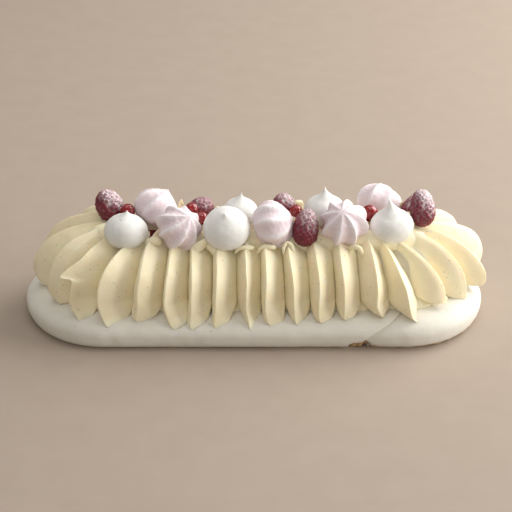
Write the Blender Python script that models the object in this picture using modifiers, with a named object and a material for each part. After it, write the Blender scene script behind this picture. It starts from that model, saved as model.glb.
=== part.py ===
"""Vacherin cake: an oblong frozen meringue cake, modelled at its real size.

A white meringue base with round ends carries a raspberry sorbet log. Vanilla cream is piped over
the log in upright fin-like strokes, all the way round, and the ridge is dressed with white meringue
drops, pink star-piped meringues, frosted raspberries and redcurrants.

Metres, +Z up. The origin is the middle of the base's underside. +X is the long axis, and -Y is the
front. Run with: blender --background --python part.py
"""

import math
from collections import namedtuple

import bmesh
import bpy
from mathutils import Vector

MM = 0.001
GAP = 0.3 * MM  # air kept between solids that touch

# The oblong plan: every level is the set of points at one distance from this centre line
HALF_LINE = 100 * MM

# Meringue base
BASE_RADIUS = 56 * MM
BASE_HEIGHT = 21 * MM
BASE_WAIST = 9.5 * MM  # height of the widest level
BASE_SHOULDER = 18 * MM  # how far the rounded shoulder reaches in
BASE_UNDERCUT = 5 * MM  # how far the underside is set in
BASE_LOW_ROWS = 3
BASE_HIGH_ROWS = 5
BASE_END_STEPS = 14  # columns round each end
BASE_SIDE_STEPS = 5  # and along each side
ROOM_FLATS = (15, 45, 75)  # directions, in degrees, of the flats that keep the cream off the shoulder
ROOM_HALF_FLAT = 15

# The seam of the base, at the front right, measured along the rim from the middle of the front
SEAM_FOOT = 69 * MM
SEAM_SLANT = 29 * MM  # how much further right it is at the top
SEAM_STEP = 1.2 * MM
SEAM_DEPTH = 3.2 * MM
SEAM_WIDTH = 24 * MM  # where the step has faded out
SEAM_MARGIN = 12 * MM  # plain rim kept free of even columns before the seam
SEAM_LOW = 0.25  # share of its depth turn that the step starts with at the foot
SEAM_TURN = 0.6  # share of the turn that it gains up to the top
SEAM_SAG = 0.5  # how far the step goes down for each part that it goes in
NOTCH_RADII = (5.2 * MM, 2.4 * MM)
NOTCH_HEIGHT = 9 * MM
NOTCH_SIDES = 7
NOTCH_PLACE = (SEAM_FOOT + 3.5 * MM, -56.5 * MM, 1.0 * MM)

# Raspberry sorbet log
CORE_RADIUS = 30 * MM
CORE_TOP = 58 * MM
CORE_BOTTOM = BASE_HEIGHT + GAP
CORE_POWER = 3.0  # squareness of its rounded section
CORE_ANGLES = (20, 38, 54, 72)
CORE_END_STEPS = 10
CORE_SIDE_STEPS = 2

# Cream strokes: the ridge is a superellipse in the upright plane of each stroke
RIDGE_CENTRE = 22 * MM
BACK_RISE = 45 * MM
BACK_POWER = 2.6
# Sections from the inner end down to the ridge's widest level, as shares of the turn of the ridge
STROKE_ROWS = (0.0, 0.2, 0.42, 0.64, 0.84, 0.95, 1.0)
FOOT_ROWS = (0.6,)  # further sections, as shares of the way from there to the tip
HANGING_TIP = 19 * MM  # height of a tip that hangs past the base's edge
HUB = (14 * MM, 26 * MM)  # distance out and height that every section points at
SECTION_DEPTH = 0.65  # how far a section reaches from the ridge to the hub
TAPER_TOP = 35 * MM  # height where a stroke starts to narrow to its tip
TAPER_POWER = 0.45
TOP_SHARE = 0.88  # width of the inner end over the full width
TIP_SINK = 1.5 * MM  # how far the tip's closing point lies under the tip
END_REACH = 3 * MM  # how far in the inner end's closing point lies
END_LEVEL = 0.84  # its height, as a share of the ridge's rise
SIDE_GAP = 0.6 * GAP  # half the air between neighbouring strokes, and a little more for their slant
# One section: place across the stroke (-1 to 1) and depth under the ridge (0 to 1)
FLANK_DEPTH = 0.42
HALF_SECTION = ((0.2, 0.0), (0.62, 0.1), (1.0, FLANK_DEPTH), (1.0, 1.0))
SECTION = (*HALF_SECTION, *((-across, depth) for across, depth in reversed(HALF_SECTION)))

# A stroke in plan: its inner end, its outer end, how far the ridge leans to its right (as a share
# of the half width), how far the tip lies to the right of the middle, the tip's distance out, and
# the rise and power of its ridge, and how far its tip hangs over the base
Stroke = namedtuple("Stroke", "inner outer lean tip_shift tip_reach rise power tip_lift", defaults=[0.0])

INNER_Y = 17 * MM
OUTER_Y = 52 * MM

# Front strokes, left to right: x of the inner end, x of the outer end, lean, tip shift, tip reach,
# rise, power
FRONT = (
    (-76.7, -98, -0.23, 3.9, 53.4, 40.6, 3.6),
    (-63.6, -69.6, -0.31, -4.7, 49.7, 43.5, 2.8),
    (-49, -53, -0.34, 3, 54, 43, 2.6),
    (-35, -36, -0.36, -3, 54, 43, 2.6),
    (-20, -19, -0.35, -4, 53.5, 43, 2.6),
    (-3, -3, -0.14, 2, 55.3, 43, 2.6),
    (11, 14, -0.36, 0, 52.5, 43, 2.6),
    (26, 31, -0.29, -1, 51.5, 43, 2.6),
    (43, 48, -0.28, -1, 50.5, 43, 2.6),
    (61, 64, -0.28, -2, 48.5, 43, 2.6),
    (75, 81, 0.04, 5, 47, 43, 2.6),
    (88.3, 109.5, -0.24, 0.9, 50.5, 42.9, 2),
)
# Strokes of the right-hand fan, front to back: inner x and y, outer x and y, lean, tip reach, rise, power
RIGHT_FAN = (
    (98.6, -18.8, 127.5, -36.3, 0.13, 46.7, 42, 2),
    (105.3, -8.9, 142.5, -22.1, 0.07, 48.1, 42.6, 2.26),
    (113, 0, 159.1, -10, 0.02, 56.7, 42.4, 2),
    (110, 6.3, 159.1, 22.5, 0.02, 59, 40, 2.75),
    (105.7, 14, 144.1, 36.3, 0, 48, 46, 2.9),
    (98, 17, 121, 47, 0.22, 52, 45, 2.8),
)
# Strokes of the left-hand fan, back to front
LEFT_FAN = (
    (-94.7, 18, -128, 46, -0.11, 52, 46, 2.9),
    (-104.5, 14.5, -147.5, 21.8, -0.12, 46, 44.2, 2.66),
    (-103.5, 5.5, -151.6, -7.5, -0.17, 45.6, 41.6, 2.8),
    (-103, -8.8, -134.1, -34.8, -0.31, 43.6, 43.4, 2.75),
    (-97.5, -13.5, -122, -44, -0.04, 51, 42.2, 2.9),
)
# How far the tips of the right-hand fan hang over the base, and the tip shift of the last stroke
RIGHT_LIFTS = (5 * MM, 0.0, 3 * MM, 0.0, 0.0, 0.0)
LAST_SHIFT = 6.5 * MM
TIP_ROOM = 1 * MM  # how far over its tip the ridge of a stroke ends
BACK_STROKES = 11
BACK_FIRST_X = 95 * MM
BACK_PITCH = 17 * MM
BACK_DRAW = 0.95  # x of a back stroke's inner end over that of its outer end
# Back strokes vary by sines of their count: lean, and the tip's distance out about its mean
BACK_LEAN = 0.2
BACK_LEAN_TURN = 2.1
BACK_REACH = 51.5 * MM
BACK_REACH_SWING = 1.5 * MM
BACK_REACH_TURN = 1.7

# Toppings: place of the middle of the underside (mm), the direction of the tip, and the sizes (mm)
Topping = namedtuple("Topping", "x y z tip radius height")
WHITE_DROPS = (
    Topping(-86, -12.5, 57.9, (0.05, 0.10, 1.0), 14.8, 24.3),
    Topping(-18, -12.4, 62.9, (-0.03, -0.42, 0.90), 15.9, 24),
    Topping(-9.5, 15.5, 58.7, (0.02, 0.05, 1.0), 12.5, 21.8),
    Topping(48, 16.0, 58.5, (0.02, 0.05, 1.0), 14.2, 26),
    Topping(93, -7.0, 59.6, (-0.08, 0.03, 1.0), 14.6, 29.4),
)
PINK_STARS = (
    Topping(-72.3, 8.0, 62.3, (0.54, 0.42, 0.73), 15.9, 26.5),
    Topping(-55.4, -9.5, 61.5, (0.50, -0.38, 0.78), 16.4, 26.5),
    Topping(2.5, -10.5, 65.5, (0.88, 0.0, 0.42), 16.6, 25),
    Topping(61.2, -5.5, 61.8, (-0.10, -0.48, 0.87), 17.2, 26.5),
    Topping(83.1, 22.7, 57.5, (0.20, 0.75, 0.63), 16.2, 26),
)
# The middle of each raspberry, the direction of its tip, and its radius and length (mm)
RASPBERRIES = (
    Topping(-98.2, 15.5, 71.2, (-0.45, 0.20, 0.87), 9.8, 23),
    Topping(-36.3, 21.5, 64.2, (0.55, 0.30, 0.60), 8.9, 20),
    Topping(20.5, 23.5, 66.5, (-0.20, 0.30, 0.90), 8.2, 18),
    Topping(34.7, -13.9, 70.1, (0.10, 0.50, 0.86), 8.8, 26),
    Topping(113.5, 4.5, 75.0, (-0.08, 0.42, 0.90), 8.9, 26),
    Topping(110.2, 21.5, 66.3, (0.65, 0.35, 0.65), 8.2, 24),
)
# The middle of each redcurrant and its radius (mm)
REDCURRANTS = (
    (-85.3, 7.3, 71.2, 5.1),
    (-42.3, 10.3, 71.0, 4.6),
    (-35.6, 3.6, 67.7, 4.6),
    (28.5, 12, 68.3, 4.6),
    (78.2, 6.9, 69.7, 5.8),
)

# Half section of a piped topping, in radii: height of the belly's middle, half height of the belly,
# angles of its points in degrees, and the points above it as (distance out, height over the middle,
# share of the rest of the way to the tip)
Piping = namedtuple("Piping", "lift belly angles collar")
DROP_PIPING = Piping(0.55, 0.80, (50, 34, 17, 0, -20, -43), ((0.14, 0.79, 0.5), (0.42, 0.79, 0.0)))
STAR_PIPING = Piping(0.68, 0.80, (62, 44, 24, 2, -24, -56), ((0.19, 0.80, 0.0),))
DROP_STEPS = 14
STAR_LOBES = 8
STAR_GROOVE = 0.80  # groove radius over lobe radius
STAR_TWIST = math.radians(25)
BERRY_COLUMNS = 12
BERRY_ROWS = 11
BERRY_DIP = 0.90  # radius between drupelets over radius on them
BERRY_POWER = 2.4  # squareness of its side
BERRY_SLIM = 0.12  # how much slimmer than the middle the tip is
BALL_ROWS = 5
CUTTER_COLUMNS = 14
CUTTER_ROWS = 9
CUTTER_GROWTH = 1.03  # makes a faceted cutter clear the round shape that it stands for
WELD = 0.02 * MM  # points of a cut solid that are nearer than this become one
TURN_WELD = 0.01 * MM  # the same for a turned drop


def clear_scene():
    """Remove every object, so that the file holds the cake alone."""
    for item in list(bpy.data.objects):
        bpy.data.objects.remove(item, do_unlink=True)


def make_collection(name):
    """Add a collection to the scene."""
    found = bpy.data.collections.new(name)
    bpy.context.scene.collection.children.link(found)
    return found


def make_material(name, colour, roughness):
    """A plain Principled finish."""
    finish = bpy.data.materials.new(name)
    finish.use_nodes = True
    shader = finish.node_tree.nodes["Principled BSDF"]
    shader.inputs["Base Color"].default_value = (*colour, 1.0)
    shader.inputs["Roughness"].default_value = roughness
    shader.inputs["Metallic"].default_value = 0.0
    finish.diffuse_color = (*colour, 1.0)
    return finish


def add_object(name, mesh, collection, finish=None):
    """Wrap a mesh in an object of its own."""
    item = bpy.data.objects.new(name, mesh)
    collection.objects.link(item)
    if finish:
        mesh.materials.append(finish)
    return item


def shaped_sphere(name, columns, rows, place):
    """A UV sphere whose vertices are moved to place(column, row); rows 0 and rows + 1 are the poles."""
    form = bmesh.new()
    bmesh.ops.create_uvsphere(form, u_segments=columns, v_segments=rows + 1, radius=1.0)
    start = next(vertex.co.copy() for vertex in form.verts if abs(vertex.co.z) < 0.9)
    for vertex in form.verts:
        turn = (math.atan2(vertex.co.y, vertex.co.x) - math.atan2(start.y, start.x)) / math.tau
        lift = math.asin(max(-1.0, min(1.0, vertex.co.z))) / math.pi + 0.5
        vertex.co = place(round(turn * columns) % columns, round(lift * (rows + 1)))
    bmesh.ops.triangulate(form, faces=form.faces[:])
    bmesh.ops.recalc_face_normals(form, faces=form.faces[:])
    mesh = bpy.data.meshes.new(name)
    form.to_mesh(mesh)
    form.free()
    return mesh


def rim(along):
    """A place on the base's widest level, measured along it to the right from the middle of the front.

    It gives the nearest point of the centre line and the way outwards.
    """
    end = math.pi * BASE_RADIUS
    lap = 4 * HALF_LINE + 2 * end
    along = along % lap
    if along < HALF_LINE or along > lap - HALF_LINE:
        return Vector(((along + HALF_LINE) % lap - HALF_LINE, 0, 0)), Vector((0, -1, 0))
    if HALF_LINE + end < along < 3 * HALF_LINE + end:
        return Vector((2 * HALF_LINE + end - along, 0, 0)), Vector((0, 1, 0))
    left = along > 2 * HALF_LINE + end
    angle = (along - (3 if left else 1) * HALF_LINE) / BASE_RADIUS
    start = Vector((-HALF_LINE if left else HALF_LINE, 0, 0))
    return start, Vector((math.sin(angle), -math.cos(angle), 0))


def even_walk(end_steps, side_steps):
    """Columns round the oblong, as distances along the rim, with even steps on the ends and on the sides."""
    end = math.pi * BASE_RADIUS
    walk = []
    for side in range(2):
        start = -HALF_LINE + side * (2 * HALF_LINE + end)
        walk += [start + 2 * HALF_LINE * step / side_steps for step in range(side_steps)]
        walk += [start + 2 * HALF_LINE + end * step / end_steps for step in range(end_steps)]
    return walk


def oblong_solid(name, profile, low, high, walk, shift=None):
    """Carry a profile of (distance out, height) round the oblong and close it at low and high.

    shift(along, distance, height) may move a point along the rim and inwards.
    """

    def place(column, row):
        if row == 0:
            return Vector((0, 0, low))
        if row == len(profile) + 1:
            return Vector((0, 0, high))
        distance, height = profile[row - 1]
        along = walk[column]
        if shift:
            along, distance, height = shift(along, distance, height)
        start, outwards = rim(along)
        return start + outwards * distance + Vector((0, 0, height))

    return shaped_sphere(name, len(walk), len(profile), place)


def seam_shift(along, distance, height):
    """The base was piped as a ring: its end lies over its start, with a slanting step that fades out."""
    if not SEAM_FOOT <= along <= SEAM_FOOT + SEAM_WIDTH:
        return along, distance, height
    lift = min(1.0, height / BASE_HEIGHT)
    beyond = along - SEAM_FOOT
    fade = 1 - beyond / SEAM_WIDTH if beyond > 0.5 * SEAM_STEP else 0.0
    dip = SEAM_DEPTH * fade * math.sin(math.pi * min(1.0, SEAM_LOW + SEAM_TURN * lift))
    return along + SEAM_SLANT * lift**2, distance - dip, height - SEAM_SAG * dip * lift


def seam_walk():
    """The base's columns: even ones, and some that follow the seam."""
    near = (SEAM_FOOT, SEAM_FOOT + SEAM_STEP, SEAM_FOOT + SEAM_WIDTH / 2, SEAM_FOOT + SEAM_WIDTH)
    first, last = near[0] - SEAM_MARGIN, near[-1] + SEAM_SLANT
    even = even_walk(BASE_END_STEPS, BASE_SIDE_STEPS)
    even = [along for along in even if not first < along < last]
    return sorted([*even, *near])


def base_profile():
    """Side of the base from the underside up: a quarter ellipse below the waist and one above it."""
    points = []
    for step in range(BASE_LOW_ROWS):
        angle = math.pi / 2 * step / BASE_LOW_ROWS
        out = BASE_RADIUS - BASE_UNDERCUT * (1 - math.sin(angle))
        points.append((out, BASE_WAIST * (1 - math.cos(angle))))
    for step in range(BASE_HIGH_ROWS + 1):
        angle = math.pi / 2 * step / BASE_HIGH_ROWS
        out = BASE_RADIUS - BASE_SHOULDER * (1 - math.cos(angle))
        points.append((out, BASE_WAIST + (BASE_HEIGHT - BASE_WAIST) * math.sin(angle)))
    return points


def base_room_profile():
    """Room that the cream leaves for the base: the same shoulder in three flats that lie outside it."""
    points = [(BASE_RADIUS + GAP, 0.0), (BASE_RADIUS + GAP, BASE_WAIST)]
    stretch = 1 / math.cos(math.radians(ROOM_HALF_FLAT))
    for degrees in ROOM_FLATS:
        angle = math.radians(degrees)
        out = BASE_RADIUS - BASE_SHOULDER * (1 - stretch * math.cos(angle))
        lift = (BASE_HEIGHT - BASE_WAIST) * stretch * math.sin(angle)
        points.append((out + 2 * GAP, BASE_WAIST + lift + GAP))
    points[-1] = (points[-1][0], BASE_HEIGHT + GAP)
    return points


def base_surface(distance):
    """Height of the base's upper surface at a distance from the centre line."""
    inwards = max(0.0, distance - (BASE_RADIUS - BASE_SHOULDER)) / BASE_SHOULDER
    return BASE_WAIST + (BASE_HEIGHT - BASE_WAIST) * math.sqrt(max(0.0, 1 - inwards**2))


def tip_level(reach):
    """Height of a stroke's tip: on the base, or hanging past its edge."""
    return base_surface(reach) if reach < BASE_RADIUS else HANGING_TIP


def core_profile(grow=0.0):
    """Side of the sorbet log from its foot up: a superellipse."""
    points = [(CORE_RADIUS + grow, CORE_BOTTOM - grow)]
    for degrees in CORE_ANGLES:
        angle = math.radians(degrees)
        out = CORE_RADIUS * math.cos(angle) ** (2 / CORE_POWER)
        lift = (CORE_TOP - CORE_BOTTOM) * math.sin(angle) ** (2 / CORE_POWER)
        points.append((out + grow, CORE_BOTTOM + lift + grow))
    return points


def distance_out(point):
    """Distance of a plan point from the centre line."""
    along = max(-HALF_LINE, min(HALF_LINE, point.x))
    return math.hypot(point.x - along, point.y)


def plan(x, y):
    """A plan point given in millimetres."""
    return Vector((x * MM, y * MM, 0))


def all_strokes():
    """Every cream stroke, in order round the cake, anticlockwise from the front left."""
    strokes = []
    for x_in, x_out, lean, shift, reach, rise, power in FRONT:
        inner = Vector((x_in * MM, -INNER_Y, 0))
        outer = Vector((x_out * MM, -OUTER_Y, 0))
        strokes.append(Stroke(inner, outer, lean, shift * MM, reach * MM, rise * MM, power))
    for (x_in, y_in, x_out, y_out, lean, reach, rise, power), lift in zip(RIGHT_FAN, RIGHT_LIFTS):
        ends = plan(x_in, y_in), plan(x_out, y_out)
        strokes.append(Stroke(*ends, lean, 0.0, reach * MM, rise * MM, power, lift))
    for count in range(BACK_STROKES):
        x_out = BACK_FIRST_X - count * BACK_PITCH
        inner = Vector((x_out * BACK_DRAW, INNER_Y, 0))
        outer = Vector((x_out, OUTER_Y, 0))
        lean = BACK_LEAN * math.sin(BACK_LEAN_TURN * count)
        reach = BACK_REACH + BACK_REACH_SWING * math.sin(BACK_REACH_TURN * count)
        strokes.append(Stroke(inner, outer, lean, 0.0, reach, BACK_RISE, BACK_POWER))
    for x_in, y_in, x_out, y_out, lean, reach, rise, power in LEFT_FAN:
        strokes.append(Stroke(plan(x_in, y_in), plan(x_out, y_out), lean, 0.0, reach * MM, rise * MM, power))
    strokes[-1] = strokes[-1]._replace(tip_shift=LAST_SHIFT)
    return strokes


def stroke_sections(stroke):
    """Sections from the inner end down: ridge distance out, ridge height, and share of the full width."""
    inner = distance_out(stroke.inner)
    reach = distance_out(stroke.outer)
    first = math.asin((inner / reach) ** (stroke.power / 2))
    tip_height = tip_level(stroke.tip_reach) + stroke.tip_lift
    stop = max(0.0, tip_height + TIP_ROOM - RIDGE_CENTRE) / stroke.rise
    last = math.acos(stop ** (stroke.power / 2))
    sections = []
    for turn in STROKE_ROWS:
        angle = first + (last - first) * turn
        out = reach * math.sin(angle) ** (2 / stroke.power)
        height = RIDGE_CENTRE + stroke.rise * max(0.0, math.cos(angle)) ** (2 / stroke.power)
        sections.append((out, height))
    end_out, end_height = sections[-1]
    for way in FOOT_ROWS:
        out = end_out + (stroke.tip_reach - end_out) * way
        sections.append((out, end_height + (tip_height - end_height) * way))
    share = [((height - tip_height) / (TAPER_TOP - tip_height)) ** TAPER_POWER for _, height in sections]
    share[0] = TOP_SHARE
    return [(out, height, min(1.0, wide)) for (out, height), wide in zip(sections, share)]


def stroke_mesh(name, before, stroke, after):
    """Loft one stroke between the upright planes half way to the strokes on its two sides."""
    inner, reach = distance_out(stroke.inner), distance_out(stroke.outer)
    sections = stroke_sections(stroke)

    def spot(out, height, across, shift=0.0):
        """A point by its distance out, its height and its place across, kept half a gap off the planes."""
        along = (out - inner) / (reach - inner)
        middle = stroke.inner.lerp(stroke.outer, along)
        across += 4 * shift / (after.outer - before.outer).length
        beside = after if across > 0 else before
        side = beside.inner.lerp(beside.outer, along)
        half = (side - middle).length / 2
        across = min(abs(across), 1 - SIDE_GAP / half)
        return middle.lerp(side, across / 2) + Vector((0, 0, height))

    def place(column, row):
        if row == 0:
            tip_height = tip_level(stroke.tip_reach) + stroke.tip_lift
            return spot(stroke.tip_reach, tip_height - TIP_SINK, 0.0, stroke.tip_shift)
        if row == len(sections) + 1:
            return spot(inner - END_REACH, RIDGE_CENTRE + END_LEVEL * stroke.rise, 0.0)
        out, height, wide = sections[len(sections) - row]
        across, depth = SECTION[column]
        out += SECTION_DEPTH * depth * (HUB[0] - out)
        height += SECTION_DEPTH * depth * (HUB[1] - height)
        lean = stroke.lean * (1 - min(1.0, depth / FLANK_DEPTH))
        wide += (1 - wide) * depth
        return spot(out, height, (across + lean) * wide, stroke.tip_shift * (1 - wide))

    return shaped_sphere(name, len(SECTION), len(sections), place)


def piped_outline(piping, topping):
    """Half section of a piped topping from the tip down: a drawn-up point, a round belly and a flat foot."""
    radius, height = topping.radius * MM, topping.height * MM
    points = [(0.0, height)]
    for out, over, way in piping.collar:
        level = (piping.lift + over) * radius
        points.append((out * radius, level + (height - level) * way))
    for degrees in piping.angles:
        angle = math.radians(degrees)
        points.append((radius * math.cos(angle), (piping.lift + piping.belly * math.sin(angle)) * radius))
    points[-1] = (points[-1][0], 0.0)
    return [*points, (0.0, 0.0)]


def drop_mesh(name, topping, finish, collection):
    """A white meringue drop: its half section turned about the upright axis by a Screw."""
    outline = piped_outline(DROP_PIPING, topping)
    profile = bpy.data.meshes.new(name)
    edges = [(spot, spot + 1) for spot in range(len(outline) - 1)]
    profile.from_pydata([(x, 0, z) for x, z in outline], edges, [])
    item = add_object(name, profile, collection, finish)
    turn = item.modifiers.new("Turn", "SCREW")
    turn.steps = DROP_STEPS
    turn.render_steps = DROP_STEPS
    turn.use_merge_vertices = True
    turn.merge_threshold = TURN_WELD
    return item


def star_mesh(name, topping, finish, collection):
    """A star-piped meringue: the drop's outline with lobes that twist up to the point."""
    outline = piped_outline(STAR_PIPING, topping)
    rows = len(outline) - 2

    def place(column, row):
        out, height = outline[len(outline) - 1 - row]
        if column % 2:
            out *= STAR_GROOVE
        turn = math.tau * column / (2 * STAR_LOBES) + STAR_TWIST * height / (topping.height * MM)
        return Vector((out * math.cos(turn), out * math.sin(turn), height))

    return add_object(name, shaped_sphere(name, 2 * STAR_LOBES, rows, place), collection, finish)


def berry_radius(topping, level):
    """Radius of a raspberry at a level from -1, the broad end, to 1, the tip."""
    return topping.radius * MM * math.sqrt(max(0.0, 1 - abs(level) ** BERRY_POWER)) * (1 - BERRY_SLIM * level)


def raspberry_mesh(name, topping, finish, collection):
    """A raspberry: a blunt cone whose drupelets are staggered high points."""

    def place(column, row):
        level = -math.cos(math.pi * row / (BERRY_ROWS + 1))
        out = berry_radius(topping, level)
        if (column + row) % 2:
            out *= BERRY_DIP
        turn = math.tau * column / BERRY_COLUMNS
        return Vector((out * math.cos(turn), out * math.sin(turn), level * topping.height / 2 * MM))

    return add_object(name, shaped_sphere(name, BERRY_COLUMNS, BERRY_ROWS, place), collection, finish)


def redcurrant_mesh(name, radius, finish, collection):
    """A redcurrant: a small ball."""
    form = bmesh.new()
    bmesh.ops.create_icosphere(form, subdivisions=2, radius=radius * MM)
    mesh = bpy.data.meshes.new(name)
    form.to_mesh(mesh)
    form.free()
    return add_object(name, mesh, collection, finish)


def clearance_mesh(name, outline, collection):
    """A turned cutter round an outline of (radius, height), grown by the gap and a little more."""

    def place(column, row):
        out, height = outline[row]
        turn = math.tau * column / CUTTER_COLUMNS
        return Vector((out * math.cos(turn), out * math.sin(turn), height))

    cutter = add_object(name, shaped_sphere(name, CUTTER_COLUMNS, len(outline) - 2, place), collection)
    cutter.hide_render = True
    cutter.display_type = "WIRE"
    return cutter


def grown(outline):
    """An outline of (radius, height), grown so that a faceted turned cutter clears it by the gap."""
    return [(out * CUTTER_GROWTH + GAP if out else 0.0, height) for out, height in outline]


def piped_clearance(piping, topping):
    """Cutter outline of a drop or a star, foot first."""
    outline = grown(piped_outline(piping, topping))
    outline[0] = (0.0, outline[0][1] + 2 * GAP)
    outline[-2] = (outline[-2][0], -GAP)
    outline[-1] = (0.0, -GAP)
    return outline[::-1]


def berry_clearance(topping):
    """Cutter outline of a raspberry, broad end first."""
    rows = CUTTER_ROWS
    levels = [-math.cos(math.pi * row / (rows + 1)) for row in range(rows + 2)]
    length = topping.height / 2 * MM
    outline = grown([(berry_radius(topping, level), level * (length + GAP)) for level in levels])
    outline[0] = (0.0, -length - GAP)
    outline[-1] = (0.0, length + GAP)
    return outline


def ball_clearance(radius):
    """Cutter outline of a redcurrant."""
    size = radius * MM * CUTTER_GROWTH + GAP
    angles = [math.pi * row / (BALL_ROWS + 1) for row in range(1, BALL_ROWS + 1)]
    sides = [(size * math.sin(angle), -size * math.cos(angle)) for angle in angles]
    return [(0.0, -size), *sides, (0.0, size)]


def stand(item, topping):
    """Put a topping in its place, with its axis turned to the way its tip points."""
    item.location = (topping.x * MM, topping.y * MM, topping.z * MM)
    item.rotation_mode = "QUATERNION"
    item.rotation_quaternion = Vector((0, 0, 1)).rotation_difference(Vector(topping.tip))


def notch_cutter(collection):
    """The small notch at the foot of the base's seam."""
    form = bmesh.new()
    low, high = NOTCH_RADII
    sizes = {"radius1": low, "radius2": high, "depth": NOTCH_HEIGHT}
    bmesh.ops.create_cone(form, cap_ends=True, segments=NOTCH_SIDES, **sizes)
    mesh = bpy.data.meshes.new("seam_notch")
    form.to_mesh(mesh)
    form.free()
    cutter = add_object("seam_notch", mesh, collection)
    cutter.location = NOTCH_PLACE
    cutter.hide_render = True
    cutter.display_type = "WIRE"
    return cutter


def box_of(item):
    """Lowest and highest corner of an object in world space."""
    corners = [item.matrix_world @ Vector(corner) for corner in item.bound_box]
    low = Vector([min(corner[axis] for corner in corners) for axis in range(3)])
    high = Vector([max(corner[axis] for corner in corners) for axis in range(3)])
    return low, high


def meet(first, second):
    """Whether the boxes of two objects overlap."""
    (low_a, high_a), (low_b, high_b) = box_of(first), box_of(second)
    return all(low_a[axis] < high_b[axis] and low_b[axis] < high_a[axis] for axis in range(3))


def cut(item, cutters):
    """Take the cutters that reach an object off it, and keep its largest piece."""
    for cutter in cutters:
        if meet(item, cutter):
            taken = item.modifiers.new(cutter.name, "BOOLEAN")
            taken.operation = "DIFFERENCE"
            taken.solver = "EXACT"
            taken.object = cutter
    graph = bpy.context.evaluated_depsgraph_get()
    form = bmesh.new()
    form.from_mesh(bpy.data.meshes.new_from_object(item.evaluated_get(graph)))
    bmesh.ops.remove_doubles(form, verts=form.verts[:], dist=WELD)
    bmesh.ops.dissolve_degenerate(form, edges=form.edges[:], dist=WELD)
    pieces = loose_pieces(form)
    largest = max(pieces, key=lambda piece: sum(face.calc_area() for face in piece))
    scraps = [face for piece in pieces if piece is not largest for face in piece]
    bmesh.ops.delete(form, geom=scraps, context="FACES")
    bmesh.ops.triangulate(form, faces=form.faces[:])
    form.to_mesh(item.data)
    form.free()
    item.modifiers.clear()


def loose_pieces(form):
    """The faces of a mesh, grouped into the pieces that hang together."""
    left = set(form.faces)
    pieces = []
    while left:
        queue = [left.pop()]
        piece = []
        while queue:
            face = queue.pop()
            piece.append(face)
            near = {other for edge in face.edges for other in edge.link_faces} & left
            left -= near
            queue.extend(near)
        pieces.append(piece)
    return pieces


def build():
    """Make every solid of the cake."""
    clear_scene()
    cake = make_collection("vacherin_cake")
    helpers = make_collection("cutters")

    meringue = make_material("white_meringue", (0.86, 0.84, 0.79), 0.75)
    sorbet = make_material("raspberry_sorbet", (0.30, 0.02, 0.03), 0.45)
    cream = make_material("vanilla_cream", (0.86, 0.76, 0.50), 0.42)
    pink = make_material("pink_meringue", (0.78, 0.62, 0.66), 0.75)
    raspberry = make_material("raspberry", (0.32, 0.02, 0.06), 0.55)
    redcurrant = make_material("redcurrant", (0.40, 0.01, 0.02), 0.15)

    base = add_object(
        "meringue_base",
        oblong_solid("meringue_base", base_profile(), 0.0, BASE_HEIGHT, seam_walk(), seam_shift),
        cake,
        meringue,
    )
    log_walk = even_walk(CORE_END_STEPS, CORE_SIDE_STEPS)
    core = add_object(
        "raspberry_sorbet",
        oblong_solid("raspberry_sorbet", core_profile(), CORE_BOTTOM, CORE_TOP, log_walk),
        cake,
        sorbet,
    )

    room_walk = even_walk(BASE_END_STEPS, 1)
    core_walk = even_walk(CORE_END_STEPS, 1)
    base_room = add_object(
        "base_room",
        oblong_solid("base_room", base_room_profile(), 0.0, BASE_HEIGHT + GAP, room_walk),
        helpers,
    )
    core_room = add_object(
        "core_room",
        oblong_solid("core_room", core_profile(GAP), CORE_BOTTOM - GAP, CORE_TOP + GAP, core_walk),
        helpers,
    )
    rooms = [base_room, core_room]
    for room in rooms:
        room.hide_render = True
        room.display_type = "WIRE"

    for kind, toppings, maker, finish, piping in (
        ("meringue_drop", WHITE_DROPS, drop_mesh, meringue, DROP_PIPING),
        ("meringue_star", PINK_STARS, star_mesh, pink, STAR_PIPING),
        ("raspberry", RASPBERRIES, raspberry_mesh, raspberry, None),
    ):
        for count, topping in enumerate(toppings, 1):
            name = f"{kind}_{count}"
            stand(maker(name, topping, finish, cake), topping)
            outline = piped_clearance(piping, topping) if piping else berry_clearance(topping)
            room = clearance_mesh(f"{name}_room", outline, helpers)
            stand(room, topping)
            rooms.append(room)
    for count, (x, y, z, radius) in enumerate(REDCURRANTS, 1):
        name = f"redcurrant_{count}"
        ball = redcurrant_mesh(name, radius, redcurrant, cake)
        room = clearance_mesh(f"{name}_room", ball_clearance(radius), helpers)
        for item in (ball, room):
            item.location = (x * MM, y * MM, z * MM)
        rooms.append(room)

    strokes = all_strokes()
    bodies = []
    for count, stroke in enumerate(strokes):
        before, after = strokes[count - 1], strokes[(count + 1) % len(strokes)]
        name = f"cream_stroke_{count + 1:02d}"
        bodies.append(add_object(name, stroke_mesh(name, before, stroke, after), cake, cream))

    bpy.context.view_layer.update()
    cut(base, [notch_cutter(helpers)])
    cut(core, [room for room in rooms if room not in (base_room, core_room)])
    for body in bodies:
        cut(body, rooms)


build()
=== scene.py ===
# %% [markdown]
# # A vacherin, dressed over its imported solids
#
# The cake is a frozen one: a white meringue base, a log of raspberry sorbet, vanilla cream piped over
# the log in upright fins, and meringues and berries along the top. Its solids are already made and
# packed. This lesson gives each of them the skin that the eye sees: soft piped edges, pores, drupelets
# and a finish made of nodes. Nothing is scaled or moved, so every size below is a real one.

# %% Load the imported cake
import math

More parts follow.
